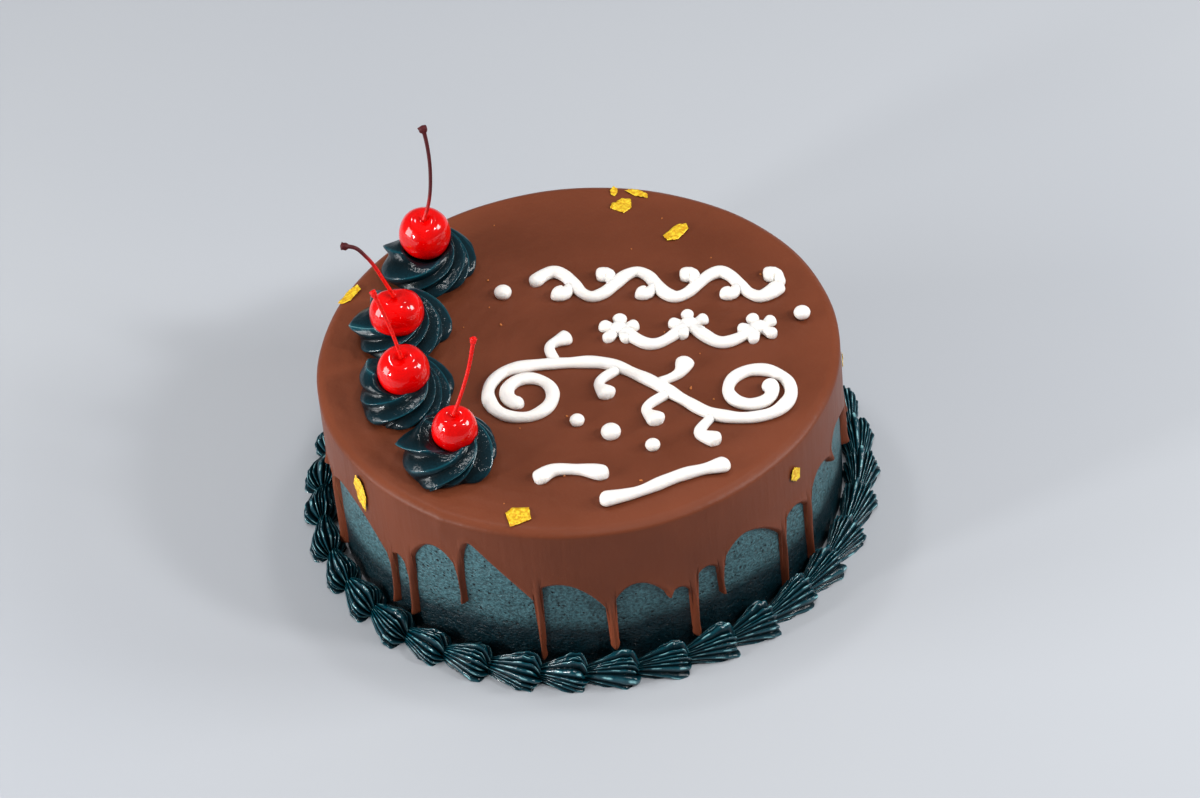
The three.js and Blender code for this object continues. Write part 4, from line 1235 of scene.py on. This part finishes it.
def vine():
    """A running wave with a bud in each of its bends."""
    pitch = (VINE["to"] - VINE["from"]) / VINE["waves"]
    wave = lambda x: VINE["middle"] + VINE["swing"] * math.sin(TURN * (x - VINE["from"]) / pitch)
    places = [VINE["from"] + pitch * i / 8 for i in range(8 * VINE["waves"] + 1)]
    parts = [bead([(x, wave(x)) for x in places])]
    for i in range(2 * VINE["waves"]):
        up = 1 if i % 2 else -1
        root = VINE["from"] + pitch * (0.5 * i + 0.5)
        x = VINE["from"] + pitch * (0.5 * i + 0.27)
        middle = VINE["middle"]
        bud = [(root, wave(root)), (root - 3.5, middle + 6 * up), (x, middle + 4.5 * up)]
        parts.append(bead(bud, **BUD))
    return merged(parts)


def scroll():
    """Two volutes joined by a bridge with buds."""
    opening = 90 + 360 * LEFT_VOLUTE["turns"]
    left = spiral(LEFT_VOLUTE, LEFT_VOLUTE["inner"], LEFT_VOLUTE["outer"], opening)
    right = spiral(RIGHT_VOLUTE, RIGHT_VOLUTE["outer"], RIGHT_VOLUTE["inner"], -90)
    return merged([bead([*left, *BRIDGE, *right]), *[bead(bud, **BUD) for bud in BRIDGE_BUDS]])


def garland():
    """Five-petalled blossoms with a swag from each to the next."""
    parts = []
    for i, (x, y) in enumerate(BLOSSOMS):
        parts.append(pearl(x, y, 3.5))
        for k in range(PETALS):
            turn = math.radians(90 + 12 * i) + k / PETALS * TURN
            parts.append(bead([(x, y), (x + 8.5 * math.cos(turn), y + 8.5 * math.sin(turn))], 5, 0.6, 1.45))
        if i:
            before = BLOSSOMS[i - 1]
            sag = min(y, before[1]) - 9
            parts.append(bead([before, ((before[0] + x) / 2, sag), (x, y)], start=1, end=1))
    return merged(parts)


class CAKE_OT_scrolls(bpy.types.Operator):
    """Pipe the white scrolls, lines and pearls on the top"""

    bl_idname = "cake.scrolls"
    bl_label = "White scrolls"

    def execute(self, context):
        made = {
            "vine": vine(),
            "scroll": scroll(),
            "garland": garland(),
            "line_long": bead(LONG_LINE),
            "line_short": bead(SHORT_LINE),
        }
        made.update({f"pearl_{i}": pearl(*values) for i, values in enumerate(PEARLS, 1)})
        for name, bm in made.items():
            finished(f"icing_{name}", bm, piped_white_icing, f"piped_{name}")
        return {"FINISHED"}


# ------------------------------------------------------------------ stage

# The lamps: direction from the cake, distance, width and height in metres, power in watts, and
# whether they show in reflections. Small bright ones give the crisp gleams on glazed skin and the
# sparks on the strands, and the wide ones only light.
LAMPS = {
    "left_softbox": ((-0.97, -0.1, 0.24), 1.3, (0.5, 0.66), 10.5, True),
    "left_gleam": ((-0.84, -0.46, 0.22), 1.28, (0.14, 0.22), 8, True),
    "right_softbox": ((0.89, -0.08, 0.42), 1.3, (0.42, 0.42), 9, True),
    "right_gleam": ((0.66, -0.32, 0.62), 1.28, (0.14, 0.18), 5.5, True),
    "overhead": ((0, 0.2, 1), 2.2, (2, 2), 10, False),
    "backdrop": ((0, 0.8, 0.6), 2.6, (2.6, 1.4), 5, False),
    "spark_0": ((0.1, -0.38, 0.92), 2.2, (0.24, 0.24), 6, True),
    "spark_1": ((-0.28, 0.3, 0.9), 2.2, (0.24, 0.24), 6, True),
    "spark_2": ((0.32, 0.22, 0.9), 2.2, (0.24, 0.24), 6, True),
}
LIT_POINT = (0, 0, 0.07)
ROOM_LIGHT = 0.16

# The camera stands 2.1 m away, 43 degrees up, with a slight roll. Its angles are in radians.
CAMERA_AWAY = 2.1228
CAMERA_RISE = 0.7505718
CAMERA_PITCH = CAMERA_RISE - 0.0167696
CAMERA_YAW = 0.0046544
CAMERA_ROLL = -0.0994582
SENSOR_WIDTH = 36
FOCAL_LENGTH = 5185.7 / 1200 * SENSOR_WIDTH


def placed(name, data, matrix):
    """A lamp or camera in the scene."""
    holder = bpy.data.objects.new(name, data)
    holder.matrix_world = matrix
    bpy.context.scene.collection.objects.link(holder)
    return holder


def lamp(name, direction, distance, size, power, mirrored):
    """A rectangular studio light that looks at the cake."""
    made = bpy.data.lights.new(name, "AREA")
    made.shape = "RECTANGLE"
    made.size, made.size_y = size
    made.energy = power
    made.color = tone("light")[:3]
    back = Vector(direction).normalized()
    turn = back.to_track_quat("Z", "Y").to_matrix().to_4x4()
    holder = placed(name, made, Matrix.Translation(Vector(LIT_POINT) + back * distance) @ turn)
    holder.visible_glossy = mirrored


def camera():
    """A camera at the photograph's viewing angle."""
    pitch = CAMERA_PITCH
    flat = math.cos(pitch)
    ahead = Vector((math.sin(CAMERA_YAW) * flat, math.cos(CAMERA_YAW) * flat, -math.sin(pitch)))
    right = ahead.cross(Vector((0, 0, 1))).normalized()
    up = right.cross(ahead)
    across = right * math.cos(CAMERA_ROLL) + up * math.sin(CAMERA_ROLL)
    upward = -right * math.sin(CAMERA_ROLL) + up * math.cos(CAMERA_ROLL)
    lens = bpy.data.cameras.new("camera")
    lens.sensor_width = SENSOR_WIDTH
    lens.lens = FOCAL_LENGTH
    lens.clip_start, lens.clip_end = 0.05, 30
    turn = Matrix((across, upward, -ahead)).transposed().to_4x4()
    stand = Vector((0, -math.cos(CAMERA_RISE), math.sin(CAMERA_RISE))) * CAMERA_AWAY
    return placed("camera", lens, Matrix.Translation(stand) @ turn)


class CAKE_OT_stage(bpy.types.Operator):
    """Set the floor, the studio light and the camera"""

    bl_idname = "cake.stage"
    bl_label = "Floor, light and camera"

    def execute(self, context):
        bm = bmesh.new()
        bmesh.ops.create_grid(bm, x_segments=8, y_segments=8, size=3)
        mesh = bpy.data.meshes.new("floor")
        bm.to_mesh(mesh)
        bm.free()
        mesh.materials.append(finish(painted_floor))
        floor = bpy.data.objects.new("floor", mesh)
        context.scene.collection.objects.link(floor)

        world = bpy.data.worlds.new("studio")
        world.use_nodes = True
        room = world.node_tree.nodes["Background"]
        room.inputs["Color"].default_value = tone("room")
        room.inputs["Strength"].default_value = ROOM_LIGHT
        context.scene.world = world
        context.scene.view_settings.view_transform = "Standard"
        for name, settings in LAMPS.items():
            lamp(name, *settings)
        context.scene.camera = camera()
        return {"FINISHED"}


# ------------------------------------------------------------------ panel and start

OPERATORS = (
    CAKE_OT_frosting,
    CAKE_OT_coat,
    CAKE_OT_flakes,
    CAKE_OT_rosettes,
    CAKE_OT_cherries,
    CAKE_OT_shells,
    CAKE_OT_scrolls,
    CAKE_OT_stage,
)


class CAKE_PT_panel(bpy.types.Panel):
    """Lists the cake's pieces, sizes and colours"""

    bl_idname = "CAKE_PT_panel"
    bl_label = "Drip cake"
    bl_space_type = "VIEW_3D"
    bl_region_type = "UI"
    bl_category = "Drip cake"

    def draw(self, context):
        for made in OPERATORS:
            self.layout.operator(made.bl_idname)
        for group in (context.scene.cake_sizes, context.scene.cake_colours):
            for name in group.__annotations__:
                self.layout.prop(group, name)


CLASSES = (CakeSizes, CakeColours, *OPERATORS, CAKE_PT_panel)


def register():
    for made in CLASSES:
        bpy.utils.register_class(made)
    bpy.types.Scene.cake_sizes = bpy.props.PointerProperty(type=CakeSizes)
    bpy.types.Scene.cake_colours = bpy.props.PointerProperty(type=CakeColours)


def unregister():
    del bpy.types.Scene.cake_sizes
    del bpy.types.Scene.cake_colours
    for made in reversed(CLASSES):
        bpy.utils.unregister_class(made)


def main():
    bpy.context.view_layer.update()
    register()
    bpy.ops.cake.frosting()
    bpy.ops.cake.coat()
    bpy.ops.cake.flakes()
    bpy.ops.cake.rosettes()
    bpy.ops.cake.cherries()
    bpy.ops.cake.shells()
    bpy.ops.cake.scrolls()
    bpy.ops.cake.stage()


if __name__ == "__main__":
    main()
